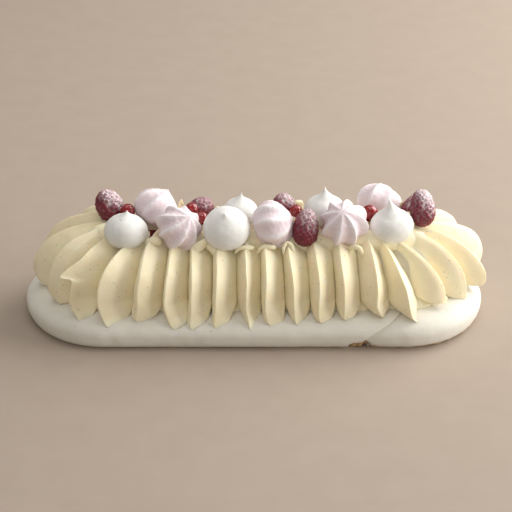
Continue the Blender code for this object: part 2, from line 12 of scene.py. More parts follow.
import bpy
import numpy as np
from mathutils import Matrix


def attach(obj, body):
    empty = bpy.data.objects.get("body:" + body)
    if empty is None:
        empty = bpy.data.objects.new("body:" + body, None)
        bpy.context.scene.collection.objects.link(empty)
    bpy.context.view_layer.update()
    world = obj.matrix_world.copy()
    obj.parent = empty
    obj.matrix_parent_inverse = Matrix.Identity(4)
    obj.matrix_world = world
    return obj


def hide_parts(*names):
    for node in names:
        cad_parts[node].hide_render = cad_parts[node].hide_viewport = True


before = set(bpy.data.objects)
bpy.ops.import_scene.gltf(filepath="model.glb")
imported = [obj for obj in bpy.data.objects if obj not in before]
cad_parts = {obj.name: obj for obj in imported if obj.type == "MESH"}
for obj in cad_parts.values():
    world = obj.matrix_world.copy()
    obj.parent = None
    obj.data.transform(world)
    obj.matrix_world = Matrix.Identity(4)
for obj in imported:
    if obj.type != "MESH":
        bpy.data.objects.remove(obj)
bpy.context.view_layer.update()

# %% [markdown]
# ## The camera and the light
#
# The photograph looks down at the long front by about 30 degrees, through a long lens, so the far side
# is hardly smaller than the near side. The light is daylight from the right. One sun lamp could stand
# for it, but its shadows would have hard edges. Area lights give soft ones: a wide window at the right,
# a little behind the cake, and a smaller, lower one at the front right, which rounds the strokes and
# the drops. Two weak ones stand for the bright wall in front and the ceiling, and an even, warm world
# for the rest of the room.

# %% Camera
MM = 0.001
AIM = np.array([1.4, 0.0, 40.3]) * MM
ELEVATION = math.radians(30)
DISTANCE = 1.3
LENS = 134.3
SENSOR = 36

lens = bpy.data.cameras.new("long_lens")
lens.lens = LENS
lens.sensor_width = SENSOR
camera = bpy.data.objects.new("long_lens", lens)
bpy.context.scene.collection.objects.link(camera)
camera.location = AIM + DISTANCE * np.array([0, -math.cos(ELEVATION), math.sin(ELEVATION)])
camera.rotation_euler = (math.pi / 2 - ELEVATION, 0, 0)
bpy.context.scene.camera = camera
print("camera", tuple(round(value, 3) for value in camera.location))

# %% Lights
# Name: place in metres, side in metres, power in watts, colour
LIGHTS = {
    "window": ((1.05, 0.62, 0.80), 1.2, 25, (1.0, 0.985, 0.96)),
    "low_window": ((1.45, -0.30, 0.46), 0.7, 12, (1.0, 0.985, 0.955)),
    "room_front": ((-0.3, -1.9, 1.05), 1.6, 6, (1.0, 0.98, 0.95)),
    "ceiling": ((-0.1, 0.3, 1.5), 1.2, 7, (1.0, 0.98, 0.96)),
}
ROOM_COLOUR = (1.0, 0.96, 0.88, 1)
ROOM_STRENGTH = 0.305


def area_light(name, place, side, power, colour):
    """A square area light, turned so that it faces the middle of the cake."""
    light = bpy.data.lights.new(name, "AREA")
    light.shape = "SQUARE"
    light.size = side
    light.energy = power
    light.color = colour
    item = bpy.data.objects.new(name, light)
    bpy.context.scene.collection.objects.link(item)
    item.location = place
    way = AIM - np.array(place)
    flat = math.hypot(way[0], way[1])
    item.rotation_euler = (math.atan2(flat, -way[2]), 0, math.atan2(-way[0], way[1]))


for name, values in LIGHTS.items():
    area_light(name, *values)
world = bpy.data.worlds.new("room")
bpy.context.scene.world = world
world.use_nodes = True
room = world.node_tree.nodes["Background"]
room.inputs["Color"].default_value = ROOM_COLOUR
room.inputs["Strength"].default_value = ROOM_STRENGTH
bpy.context.scene.view_settings.view_transform = "Standard"
bpy.context.scene.view_settings.look = "None"
print("lights", list(LIGHTS))

# %% [markdown]
# ## Skins from grids
#
# Piped cream and baked meringue have no straight edges, so they could be sculpted, or made from a cage
# with a subdivision surface. Here each one is a formula instead: a grid of points, rows along the piece
# and columns round it, worked out by numpy in one go. A formula is quick to try again, and the same
# builder then turns every grid into a closed mesh. Two helpers give the formulas their softness: a step
# with round ends, and lumps that are never twice the same.


# %% Steps and lumps
def smooth_step(low, high, value):
    """0 at low, 1 at high, held past both, 3 t squared minus 2 t cubed between. Low may be the larger."""
    share = np.clip((value - low) / (high - low), 0, 1)
    return share * share * (3 - 2 * share)


def lumps(points, wavelength, seed, waves=12):
    """Smooth lumps between about -1 and 1: a sum of sine waves that run in random directions."""
    dice = np.random.default_rng(seed)
    ways = dice.normal(size=(waves, 3))
    ways *= math.tau / wavelength / np.linalg.norm(ways, axis=1, keepdims=True)
    ways *= dice.uniform(0.6, 1.5, (waves, 1))
    starts = dice.uniform(0, math.tau, waves)
    return np.sin(points @ ways.T + starts).sum(axis=-1) / (1.4 * math.sqrt(waves))


def lumpy(points, size, wavelength, seed):
    """Move points by lumps of a size, with other lumps for each axis."""
    shifts = [lumps(points, wavelength, seed + axis) for axis in range(3)]
    return points + size * np.stack(shifts, axis=-1)


print("a smooth step goes through", [round(float(smooth_step(0, 4, t)), 2) for t in range(5)])


# %% Closed skins
def enclosed(points, triangles):
    """Six times the volume inside triangles: the sum of the triple products of their corners."""
    corners = points[triangles] - points.mean(axis=0)
    return np.einsum("ij,ij->", corners[:, 0], np.cross(corners[:, 1], corners[:, 2]))


def closed_mesh(name, points, quads, fans):
    """A smooth mesh of quads and triangles. Every face is turned round if they enclose less than 0."""
    triangles = np.vstack([quads[:, [0, 1, 2]], quads[:, [0, 2, 3]], fans])
    if enclosed(points, triangles) < 0:
        quads, fans = quads[:, ::-1], fans[:, ::-1]
    mesh = bpy.data.meshes.new(name)
    mesh.from_pydata(points.tolist(), [], quads.tolist() + fans.tolist())
    mesh.shade_smooth()
    return mesh


def skin(name, first, grid, last):
    """Close a grid of rows x columns x 3 into a mesh.

    Neighbouring rows are joined by quads all the way round, and the first and last rows by a fan to one
    point each.
    """
    rows, columns = grid.shape[:2]
    points = np.vstack([grid.reshape(-1, 3), first, last])
    here = np.arange(rows * columns).reshape(rows, columns)
    beside = np.roll(here, -1, axis=1)
    quads = np.stack([here[:-1], beside[:-1], beside[1:], here[1:]], axis=-1).reshape(-1, 4)
    foot = np.stack([beside[0], here[0], np.full(columns, rows * columns)], axis=-1)
    head = np.stack([here[-1], beside[-1], np.full(columns, rows * columns + 1)], axis=-1)
    return closed_mesh(name, points, quads, np.vstack([foot, head]))


cube_corner = np.array([[0, 0, 0], [1, 0, 0], [0, 1, 0], [0, 0, 1]])
cut_faces = np.array([[0, 2, 1], [0, 1, 3], [0, 3, 2], [1, 2, 3]])
print("a corner cut off a cube holds 1 /", round(6 / enclosed(cube_corner, cut_faces)), "of it")


# %% Pieces and paint
def add_piece(mesh, finish, slot, *nodes):
    """Put a mesh in the scene as a piece that rides on the cake and stands for CAD nodes."""
    piece = bpy.data.objects.new(mesh.name, mesh)
    bpy.context.scene.collection.objects.link(piece)
    mesh.materials.append(finish)
    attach(piece, "root")
    if nodes:
        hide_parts(*nodes)
    return piece


def paint(mesh, name, values):
    """Store one number for each vertex, for a material to read as an attribute."""
    layer = mesh.attributes.new(name, "FLOAT", "POINT")
    layer.data.foreach_set("value", np.asarray(values, np.float32).ravel())


print("nodes that pieces can stand for", len(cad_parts))

# %% [markdown]
# ## Finishes made of nodes
#
# Every finish starts from a Principled shader. Its colour, roughness and bump come from noise and cells
# that read Object coordinates, which are metres here, so a speck of 0.3 mm is 0.3 mm on every piece.
# Image textures could do it too, but they would need maps, and they blur from close by. The helpers
# below add a node and join or fill its sockets in one line.


# %% Nodes in one line
def start_finish(name):
    """A new node material: its tree, its Principled shader and the Object coordinates."""
    finish = bpy.data.materials.new(name)
    finish.use_nodes = True
    tree = finish.node_tree
    place = tree.nodes.new("ShaderNodeTexCoord").outputs["Object"]
    return finish, tree, tree.nodes["Principled BSDF"], place


def add_node(tree, kind, sockets, **settings):
    """Add a node, set its settings, and join or fill the sockets given by name or number."""
    node = tree.nodes.new("ShaderNode" + kind)
    for key, value in settings.items():
        setattr(node, key, value)
    for key, value in sockets.items():
        if isinstance(value, bpy.types.NodeSocket):
            tree.links.new(value, node.inputs[key])
        else:
            node.inputs[key].default_value = value
    return node


def ramp(tree, value, low, high, start, end):
    """Map low..high to start..end, smoothly, and hold it outside that range."""
    sockets = {0: value, 1: low, 2: high, 3: start, 4: end}
    return add_node(tree, "MapRange", sockets, interpolation_type="SMOOTHSTEP").outputs[0]


def blend(tree, share, first, second):
    """Mix two colours by a share."""
    return add_node(tree, "Mix", {0: share, 6: first, 7: second}, data_type="RGBA").outputs[2]


def product(tree, first, second):
    """Multiply two values."""
    return add_node(tree, "Math", {0: first, 1: second}, operation="MULTIPLY").outputs[0]


print("materials before the first finish", len(bpy.data.materials))


# %% Patterns and light for finishes
def noise(tree, place, size, detail=2.0):
    """Cloudy noise with lumps of about the given size in metres."""
    sockets = {"Vector": place, "Scale": 1 / size, "Detail": detail}
    return add_node(tree, "TexNoise", sockets).outputs["Fac"]


def specks(tree, place, pitch, size, limit):
    """Dots of one size, in cells about one pitch apart, where the cell's random grey is under a limit."""
    cells = add_node(tree, "TexVoronoi", {"Vector": place, "Scale": 1 / pitch})
    dot = ramp(tree, cells.outputs["Distance"], 0.7 * size / pitch, 1.2 * size / pitch, 1.0, 0.0)
    grey = {0: cells.outputs["Color"], 1: limit}
    picked = add_node(tree, "Math", grey, operation="LESS_THAN").outputs[0]
    return product(tree, dot, picked)


def cloudy_roughness(tree, shader, place, size, smooth, rough):
    """Roughness between two values, in clouds of a size in metres."""
    clouds = ramp(tree, noise(tree, place, size), 0.3, 0.7, smooth, rough)
    tree.links.new(clouds, shader.inputs["Roughness"])


def raise_bump(tree, shader, *layers):
    """Chain bump nodes, one for each (height, distance in metres), into the shader's normal."""
    below = None
    for height, distance in layers:
        sockets = {"Height": height, "Distance": distance, "Strength": 1.0}
        if below:
            sockets["Normal"] = below
        below = add_node(tree, "Bump", sockets).outputs["Normal"]
    tree.links.new(below, shader.inputs["Normal"])


def let_light_in(shader, weight, colours, depth):
    """Subsurface light: its weight, how far red, green and blue go, and the depth of 1.0 in metres."""
    shader.inputs["Subsurface Weight"].default_value = weight
    shader.inputs["Subsurface Radius"].default_value = colours
    shader.inputs["Subsurface Scale"].default_value = depth


print("lumps of 1 mm are noise of scale", round(1 / MM))

# %% [markdown]
# ### Vanilla cream
#
# Whipped cream with egg yolk is pale yellow, dense and a little glossy, and light goes into it a few
# millimetres, which softens the grooves. The dark dots are vanilla seeds. They could be painted, but
# cells in space put them at all depths, so each cut through the cells shows seeds of different sizes.

# %% Cream finish
CREAM_DEEP = (0.89, 0.78, 0.52, 1)
CREAM_PALE = (0.955, 0.88, 0.675, 1)
SEED_BROWN = (0.17, 0.11, 0.05, 1)
DUST_BROWN = (0.26, 0.18, 0.09, 1)


def cream_finish():
    """Pale yellow cream with vanilla seeds, finer dust of the same, and a faint pebbly bump."""
    finish, tree, shader, place = start_finish("vanilla_cream_finish")
    tone = blend(tree, noise(tree, place, 14 * MM), CREAM_DEEP, CREAM_PALE)
    seeds = specks(tree, place, 2.6 * MM, 0.34 * MM, 0.30)
    dust = specks(tree, place, 1.3 * MM, 0.17 * MM, 0.25)
    spotted = blend(tree, product(tree, seeds, 0.75), tone, SEED_BROWN)
    dusted = blend(tree, product(tree, dust, 0.45), spotted, DUST_BROWN)
    tree.links.new(dusted, shader.inputs["Base Color"])
    cloudy_roughness(tree, shader, place, 6 * MM, 0.42, 0.56)
    let_light_in(shader, 0.35, (1.0, 0.72, 0.36), 3 * MM)
    shader.inputs["Specular IOR Level"].default_value = 0.32
    pebbles = noise(tree, place, 1.1 * MM, 3.0)
    raise_bump(tree, shader, (pebbles, 0.12 * MM), (noise(tree, place, 5 * MM), 0.3 * MM))
    return finish


cream = cream_finish()
print("finish", cream.name, len(cream.node_tree.nodes), "nodes")

# %% [markdown]
# ### White and pink meringue
#
# Baked meringue is dry and chalky: no gloss, a fine powdery grain and, here and there, the pore of a
# burst bubble. The base has also picked up gold where it touched the baking sheet. White and pink share
# one recipe. The pink one is lighter on its ridges: partly pale dust, and partly a painted highlight
# where the ridges catch the light. That could be a pattern in space, but then it would miss the ridges,
# so the finish reads an attribute that the shape paints.

# %% Meringue finishes
PORE_SHADE = (0.36, 0.29, 0.25, 1)
GOLD = (0.50, 0.31, 0.11, 1)
GOLD_TOP = (1.8 * MM, 2.6 * MM)
GOLD_FOOT = (0.6 * MM, 1.0 * MM)
GOLD_RIGHT = 90 * MM


def golden_share(tree, place):
    """Gold in a line round the foot, paler at its lower edge and to the left, and broken by noise."""
    level = add_node(tree, "SeparateXYZ", {0: place})
    low = ramp(tree, level.outputs["Z"], *GOLD_TOP, 1.0, 0.0)
    low = product(tree, low, ramp(tree, level.outputs["Z"], *GOLD_FOOT, 0.25, 1.0))
    right = ramp(tree, level.outputs["X"], 0.0, GOLD_RIGHT, 0.15, 1.0)
    patches = ramp(tree, noise(tree, place, 7 * MM, 3.0), 0.34, 0.62, 0.35, 1.0)
    return product(tree, product(tree, low, right), patches)


def meringue_finish(name, deep, pale, grain, foot=None, ridge=False):
    """Chalky meringue: two close colours, a fine grain, pores, and an optional toasted foot.

    With ridge, the share of the pale colour is the noise times the painted ridge, plus the ridge: a
    painted highlight, with some pale dust, on the ridges.
    """
    finish, tree, shader, place = start_finish(name)
    share = noise(tree, place, 9 * MM)
    if ridge:
        # The ridge attribute: a painted highlight, with some pale dust, on the ridges
        line = add_node(tree, "Attribute", {}, attribute_name="ridge").outputs["Fac"]
        sockets = {0: share, 1: line, 2: line}
        share = add_node(tree, "Math", sockets, operation="MULTIPLY_ADD", use_clamp=True).outputs[0]
    tone = blend(tree, share, deep, pale)
    pores = specks(tree, place, 3.4 * MM, 0.42 * MM, 0.20)
    tone = blend(tree, product(tree, pores, 0.7), tone, PORE_SHADE)
    if foot:
        tone = blend(tree, golden_share(tree, place), tone, foot)
    tree.links.new(tone, shader.inputs["Base Color"])
    cloudy_roughness(tree, shader, place, 4 * MM, 0.60, 0.78)
    let_light_in(shader, 0.12, (1.0, 0.85, 0.7), 2 * MM)
    shader.inputs["Specular IOR Level"].default_value = 0.25
    sunk = product(tree, pores, -1.0)
    powder = noise(tree, place, 0.9 * MM, 4.0)
    swells = noise(tree, place, 4 * MM)
    raise_bump(tree, shader, (powder, grain), (swells, 0.2 * MM), (sunk, 0.3 * MM))
    return finish


white = meringue_finish(
    "white_meringue_finish", (0.81, 0.805, 0.775, 1), (0.86, 0.86, 0.84, 1), 0.12 * MM
)
baked = meringue_finish(
    "base_meringue_finish", (0.74, 0.71, 0.63, 1), (0.82, 0.80, 0.735, 1), 0.08 * MM, foot=GOLD
)
pink = meringue_finish(
    "pink_meringue_finish", (0.82, 0.70, 0.735, 1), (0.95, 0.91, 0.945, 1), 0.22 * MM, ridge=True
)
print("finishes", white.name, baked.name, pink.name)

# %% [markdown]
# ### Berries and sorbet
#
# A frozen raspberry is dark crimson with a bloom of white frost on its upper side and in its creases. A
# Normal node could put frost on what faces up, but the creases come from the shape, so the shape paints
# an attribute here too. The redcurrant is a clear skin full of juice. Glass would be slow to render and
# hard to light, so it gets a coat for its gloss and subsurface light for its glow. The sorbet is a dark,
# moist red that shows in the gaps alone.

# %% Raspberry finish
RASPBERRY_DEEP = (0.075, 0.002, 0.012, 1)
RASPBERRY_RED = (0.28, 0.010, 0.036, 1)
FROST_WHITE = (0.86, 0.76, 0.79, 1)


def raspberry_finish():
    """Dark crimson drupelets. Frost grows in thin lines, where a noise is close to its middle value."""
    finish, tree, shader, place = start_finish("raspberry_finish")
    pale_share = add_node(tree, "Attribute", {}, attribute_name="frost").outputs["Fac"]
    tone = blend(tree, noise(tree, place, 4 * MM), RASPBERRY_DEEP, RASPBERRY_RED)
    veins = add_node(tree, "Math", {0: noise(tree, place, 1.7 * MM, 3.0), 1: 0.5}, operation="SUBTRACT")
    veins = add_node(tree, "Math", {0: veins.outputs[0]}, operation="ABSOLUTE")
    crystals = ramp(tree, veins.outputs[0], 0.0, 0.10, 1.0, 0.35)
    share = product(tree, pale_share, crystals)
    tree.links.new(blend(tree, share, tone, FROST_WHITE), shader.inputs["Base Color"])
    tree.links.new(ramp(tree, share, 0.0, 0.5, 0.36, 0.85), shader.inputs["Roughness"])
    let_light_in(shader, 0.15, (1.0, 0.2, 0.25), 2 * MM)
    raise_bump(tree, shader, (noise(tree, place, 0.5 * MM, 3.0), 0.15 * MM))
    return finish


raspberry_red = raspberry_finish()
print("finish", raspberry_red.name, len(raspberry_red.node_tree.nodes), "nodes")

# %% Redcurrant and sorbet finishes
CURRANT_DEEP = (0.17, 0.002, 0.005, 1)
CURRANT_RED = (0.36, 0.007, 0.012, 1)
SORBET_DEEP = (0.16, 0.012, 0.012, 1)
SORBET_RED = (0.34, 0.03, 0.03, 1)


def redcurrant_finish():
    """A taut red skin, glossy under its coat, with clouds of a lighter red."""
    finish, tree, shader, place = start_finish("redcurrant_finish")
    tone = blend(tree, noise(tree, place, 3 * MM), CURRANT_DEEP, CURRANT_RED)
    tree.links.new(tone, shader.inputs["Base Color"])
    cloudy_roughness(tree, shader, place, 2 * MM, 0.10, 0.22)
    let_light_in(shader, 0.4, (1.0, 0.15, 0.1), 4 * MM)
    shader.inputs["Coat Weight"].default_value = 0.6
    shader.inputs["Coat Roughness"].default_value = 0.08
    raise_bump(tree, shader, (noise(tree, place, 1.2 * MM), 0.05 * MM))
    return finish


def sorbet_finish():
    """Dark red ice with a bump of crystals."""
    finish, tree, shader, place = start_finish("sorbet_finish")
    tone = blend(tree, noise(tree, place, 3 * MM, 4.0), SORBET_DEEP, SORBET_RED)
    tree.links.new(tone, shader.inputs["Base Color"])
    cloudy_roughness(tree, shader, place, 1 * MM, 0.35, 0.6)
    raise_bump(tree, shader, (noise(tree, place, 1.2 * MM, 4.0), 0.6 * MM))
    return finish


redcurrant_red = redcurrant_finish()
sorbet_red = sorbet_finish()
print("finishes", redcurrant_red.name, sorbet_red.name)

# %% [markdown]
# ## The table top
#
# The floor is a stage, not a part of the cake: one large plain sheet, pale and warm. A curved backdrop
# would hide a horizon, but the camera looks down and never sees one. A very faint mottle gives the soft
# shadow something to lie on.

# %% Floor
FLOOR_HALF = 3.0
FLOOR_DEEP = (0.374, 0.302, 0.244, 1)
FLOOR_PALE = (0.414, 0.339, 0.277, 1)

floor_mesh = bpy.data.meshes.new("table_top")
corners = [(FLOOR_HALF * x, FLOOR_HALF * y, 0) for x, y in ((-1, -1), (1, -1), (1, 1), (-1, 1))]
floor_mesh.from_pydata(corners, [], [(0, 1, 2, 3)])
floor = bpy.data.objects.new("table_top", floor_mesh)
bpy.context.scene.collection.objects.link(floor)
floor_finish, floor_tree, floor_shader, floor_place = start_finish("table_top_finish")
mottle = noise(floor_tree, floor_place, 20 * MM, 5.0)
floor_tone = blend(floor_tree, mottle, FLOOR_DEEP, FLOOR_PALE)
floor_tree.links.new(floor_tone, floor_shader.inputs["Base Color"])
floor_shader.inputs["Roughness"].default_value = 0.8
floor_mesh.materials.append(floor_finish)
print("floor", FLOOR_HALF * 2, "m wide")

# %% [markdown]
# ## The oblong plan
#
# The base and the log share one plan, a rectangle with half-round ends. A point on it is given by how
# far it is along the rim, to the right from the middle of the front, and by its distance from the centre
# line. A bevelled curve could carry a section round such a plan. But the base was piped as one ring whose
# end lies over its start, and a curve's section can't change at that seam, so every point is worked out.

# %% Rim walk
HALF_LINE = 100 * MM
BASE_RADIUS = 56 * MM
BASE_HEIGHT = 21 * MM
BASE_WAIST = 9.5 * MM
BASE_SHOULDER = 18 * MM
BASE_UNDERCUT = 5 * MM
END_LENGTH = math.pi * BASE_RADIUS
LAP = 4 * HALF_LINE + 2 * END_LENGTH


def rim(along):
    """Centre-line point and way outwards at distances along the rim: front, right end, back, left end."""
    along = (along + HALF_LINE) % LAP
    second = along >= LAP / 2
    rest = np.where(second, along - LAP / 2, along)
    angle = np.clip(rest - 2 * HALF_LINE, 0, None) / BASE_RADIUS
    x = np.minimum(rest, 2 * HALF_LINE) - HALF_LINE
    side = np.where(second, -1.0, 1.0)
    start = np.stack([side * x, 0 * x, 0 * x], axis=-1)
    way = np.stack([side * np.sin(angle), -side * np.cos(angle), 0 * x], axis=-1)
    return start, way


def carried(walk, distance, height):
    """Points at walks along the rim, distances out and heights, and the way outwards at each."""
    start, way = rim(walk)
    grid = start + way * distance[..., None]
    grid[..., 2] = height
    return grid, way


def base_top(distance):
    """Height of the base's upper surface: flat inside the shoulder, then a quarter ellipse down."""
    inwards = np.clip(distance - (BASE_RADIUS - BASE_SHOULDER), 0, BASE_SHOULDER) / BASE_SHOULDER
    return BASE_WAIST + (BASE_HEIGHT - BASE_WAIST) * np.sqrt(1 - inwards**2)


print("rim", round(LAP, 4), "m round")

# %% [markdown]
# ## The base, its seam and its notch
#
# The ring of meringue closes at the front right: a slanting step that fades out to the right, with a
# notch broken out of its foot. A Boolean could cut the notch, but it would leave a sharp, clean wound.
# Here the points round it are drawn inwards by a torn bowl, so the broken edge is as ragged as a real
# one.

# %% Seam of the base
SEAM_FOOT = 69 * MM
SEAM_SLANT = 29 * MM
SEAM_STEP = 0.8 * MM
SEAM_DEPTH = 3.4 * MM
SEAM_WIDTH = 24 * MM
SEAM_LIP = 0.5 * MM
LIP_WIDTH = 3 * MM
SLANT_FADE = 75 * MM


def seam(along, distance, height):
    """Slant the rim by the height, drop it by a step at the seam, and let the drop fade to the right.

    The slant grows with the square of the height. It is whole over the width of the drop, and fades over
    SLANT_FADE on both sides of it, so that the columns never cross. A small lip stands out by the step.
    """
    lift = np.clip(height / BASE_HEIGHT, 0, 1)
    beyond = (along - SEAM_FOOT + LAP / 2) % LAP - LAP / 2
    near = smooth_step(-SLANT_FADE, 0, beyond) * smooth_step(SEAM_WIDTH + SLANT_FADE, SEAM_WIDTH, beyond)
    step = smooth_step(0, SEAM_STEP, beyond) * (1 - np.clip(beyond / SEAM_WIDTH, 0, 1)) ** 1.5
    dip = SEAM_DEPTH * step * np.sin(math.pi * np.minimum(1.0, 0.25 + 0.6 * lift))
    before = beyond < SEAM_STEP / 2
    lip = SEAM_LIP * np.exp(-((beyond / LIP_WIDTH) ** 2)) * before * np.sin(math.pi * lift)
    return along + SEAM_SLANT * lift**2 * near, distance - dip + lip, height - 0.5 * dip * lift


print("seam", round(SEAM_FOOT / MM), "mm right of the middle")

# %% Base shell
SEAM_COLUMNS = SEAM_FOOT + np.linspace(-2, 2.4, 24) * MM
UNDERSIDE = (20 * MM, 42 * MM)
UNDERSIDE_EDGE = 1.2 * MM
TOP_STOP = 4 * MM
GOLD_LEVEL = 0.6 * MM
GOLD_BAND = 0.5 * MM
GOLD_RIDGE = 0.9 * MM
NOTCH = np.array([70.5, -54.5, 0.5]) * MM
NOTCH_HALF = np.array([8.0, 8.0, 5.4]) * MM
NOTCH_BITE = 8 * MM


def base_section(side_rows, top_rows):
    """Distance out and height: quarter ellipses under and over the waist, then flat to the middle."""
    low = np.linspace(0, math.pi / 2, side_rows // 3, endpoint=False)
    high = np.linspace(0, math.pi / 2, side_rows - len(low))
    low_out = BASE_RADIUS - BASE_UNDERCUT * (1 - np.sin(low))
    high_out = BASE_RADIUS - BASE_SHOULDER * (1 - np.cos(high))
    low_level = BASE_WAIST * (1 - np.cos(low))
    high_level = BASE_WAIST + (BASE_HEIGHT - BASE_WAIST) * np.sin(high)
    flat = np.linspace(BASE_RADIUS - BASE_SHOULDER, TOP_STOP, top_rows + 1)[1:]
    out = np.concatenate([[*UNDERSIDE, low_out[0] - UNDERSIDE_EDGE], low_out, high_out, flat])
    level = np.concatenate([[0, 0, 0], low_level, high_level, np.full(top_rows, BASE_HEIGHT)])
    return out, level


def torn_notch(grid, way):
    """Draw points inwards by the square root of how deep they lie in an ellipsoid with a torn surface."""
    apart = np.linalg.norm((grid - NOTCH) / NOTCH_HALF, axis=-1)
    torn = 1 + 0.18 * lumps(grid, 3 * MM, 14)
    bite = np.clip(torn - apart, 0, None)
    return grid - way * (np.sqrt(bite) * NOTCH_BITE)[..., None]


def base_skin(columns=760, side_rows=46, top_rows=8):
    """Carry the section round the rim, with extra columns at the seam.

    Its side swells by lumps. Along its right half the golden foot stands out by about GOLD_RIDGE, in a
    bell curve over the height that smaller lumps break up.
    """
    even = np.arange(columns) / columns * LAP
    along = np.sort(np.concatenate([even, SEAM_COLUMNS]))
    out, level = base_section(side_rows, top_rows)
    walk, distance = np.meshgrid(along, out)
    height = np.repeat(level[:, None], len(along), axis=1)
    walk, distance, height = seam(walk, distance, height)
    grid, way = carried(walk, distance, height)
    rounded = smooth_step(0.0, 3 * MM, height)
    swell = 0.35 * MM * lumps(grid, 60 * MM, 11) + 0.12 * MM * lumps(grid, 14 * MM, 12)
    grid += way * (swell * rounded)[..., None]
    band = np.exp(-(((height - GOLD_LEVEL) / GOLD_BAND) ** 2))
    foot = band * smooth_step(0.0, GOLD_RIGHT, walk) * (walk < LAP / 2)
    ragged = 0.5 + 0.5 * lumps(grid, 9 * MM, 13)
    grid += way * (GOLD_RIDGE * foot * ragged)[..., None]
    return skin("base_shell", (0, 0, 0), torn_notch(grid, way), (0, 0, BASE_HEIGHT))


base_mesh = base_skin()
add_piece(base_mesh, baked, "white_meringue", "meringue_base")
print("base", len(base_mesh.polygons), "faces")

# %% [markdown]
# ## The sorbet log
#
# Only glimpses of the log show, between the fins and between the toppings. A sculpted, spooned surface
# would be lost there. A plain superellipse carried round the same plan, with rough lumps, is enough.

# %% Sorbet log
CORE_RADIUS = 30 * MM
CORE_TOP = 58 * MM
CORE_FOOT = 21.3 * MM
CORE_POWER = 3.0


def log_skin(columns=300, rows=26):
    """Superellipse: distance out is cos(a) and height is sin(a), each to the power 2 / CORE_POWER."""
    along = np.arange(columns) / columns * LAP
    angle = np.linspace(0, math.radians(84), rows)
    out = CORE_RADIUS * np.cos(angle) ** (2 / CORE_POWER)
    level = CORE_FOOT + (CORE_TOP - CORE_FOOT) * np.sin(angle) ** (2 / CORE_POWER)
    walk, distance = np.meshgrid(along, np.concatenate([[12 * MM], out, [3 * MM]]))
    height = np.repeat(np.concatenate([[CORE_FOOT], level, [CORE_TOP]])[:, None], columns, axis=1)
    grid, way = carried(walk, distance, height)
    grid -= way * (0.3 * MM * (3 + lumps(grid, 6 * MM, 21)))[..., None]
    return skin("sorbet_log", (0, 0, CORE_FOOT), grid, (0, 0, CORE_TOP))


log_mesh = log_skin()
add_piece(log_mesh, sorbet_red, "raspberry_sorbet", "raspberry_sorbet")
print("log", len(log_mesh.polygons), "faces")

# %% [markdown]
# ## The piped fins
#
# Each fin is one pull of the piping bag: it starts on top, runs out and down over the log, and is
# drawn off to a point on the base. Seen from its end, a fin isn't an even arch. The nozzle was held at a
# slant, so one flank is narrow and steep and the other is wide, and they meet in a crest that is sharp on
# some fins and soft on others. A curve with a bevel would give every fin the same section from end to
# end, so each is a loft: a section, with its crest, walls and foot, carried along the fin's ridge.

# %% Fin tables
from collections import namedtuple

# A fin: inner and outer end in plan, place of the crest across it (-1 to 1), sideways shift of the tip,
# distance of the tip from the centre line, rise of the ridge over RIDGE_CENTRE, power of the ridge, power
# of the taper (a low one is blunt), flat shares of the left and the right flank, softness of the crest
# (0 to 1), and how far the tip hangs over the base
FIN_FIELDS = "inner outer crest tip_shift tip_reach rise power taper bevels soft tip_lift"
Fin = namedtuple("Fin", FIN_FIELDS, defaults=[(0.0, 0.0), 0.3, 0.0])
RIGHT_BEVELS = (0.24, 0.0)
LEFT_BEVELS = (0.0, 0.10)
# Lengths in the tables are in mm. Front: x of the inner end, x of the outer end, crest, tip shift,
# tip reach, rise, power, taper, softness
FRONT = (
    (-76.7, -98, -0.41, 3.9, 53.4, 40.6, 3.6, 0.5, 0.35),
    (-63.6, -69.6, -0.56, -4.7, 49.7, 43.5, 2.8, 0.42, 0.8),
    (-49, -53, -0.62, 3, 54, 43, 2.6, 0.27, 0.85),
    (-35, -36, -0.66, -3, 54, 43, 2.6, 0.28, 0.85),
    (-20, -19, -0.64, -4, 53.5, 43, 2.6, 0.28, 0.85),
    (-3, -3, -0.25, 2, 55.3, 43, 2.6, 0.45, 0.1),
    (11, 14, -0.66, 0, 52.5, 43, 2.6, 0.27, 0.85),
    (26, 31, -0.52, -1, 51.5, 43, 2.6, 0.36, 0.35),
    (43, 48, -0.5, -1, 50.5, 43, 2.6, 0.28, 0.6),
    (61, 64, -0.5, -2, 48.5, 43, 2.6, 0.40, 0.8),
    (75, 81, 0.08, 5, 47, 43, 2.6, 0.48, 0),
    (88.3, 109.5, -0.44, 0.9, 50.5, 42.9, 2, 0.5, 0),
)
# Fans: x and y of the inner end, x and y of the outer end, crest, tip reach, rise, power, taper
RIGHT_FAN = (
    (98.6, -18.8, 127.5, -36.3, 0.24, 46.7, 42, 2, 0.45),
    (105.3, -8.9, 142.5, -22.1, 0.13, 48.1, 42.6, 2.26, 0.45),
    (113, 0, 159.1, -10, 0.03, 56.7, 42.4, 2, 0.45),
    (110, 6.3, 159.1, 22.5, 0.04, 59, 40, 2.75, 0.4),
    (105.7, 14, 144.1, 36.3, 0, 48, 46, 2.9, 0.45),
    (98, 17, 121, 47, 0.4, 52, 45, 2.8, 0.45),
)
RIGHT_LIFTS = (5, 0, 3, 0, 0, 0)
LEFT_FAN = (
    (-94.7, 18, -128, 46, -0.2, 52, 46, 2.9, 0.45),
    (-104.5, 14.5, -147.5, 21.8, -0.21, 46, 44.2, 2.66, 0.45),
    (-103.5, 5.5, -151.6, -7.5, -0.3, 45.6, 41.6, 2.8, 0.45),
    (-103, -8.8, -134.1, -34.8, -0.56, 43.6, 43.4, 2.75, 0.45),
    (-97.5, -13.5, -122, -44, -0.08, 51, 42.2, 2.9, 0.5),
)
LAST_SHIFT = 6.5
print("fins in the tables", len(FRONT) + len(RIGHT_FAN) + len(LEFT_FAN))

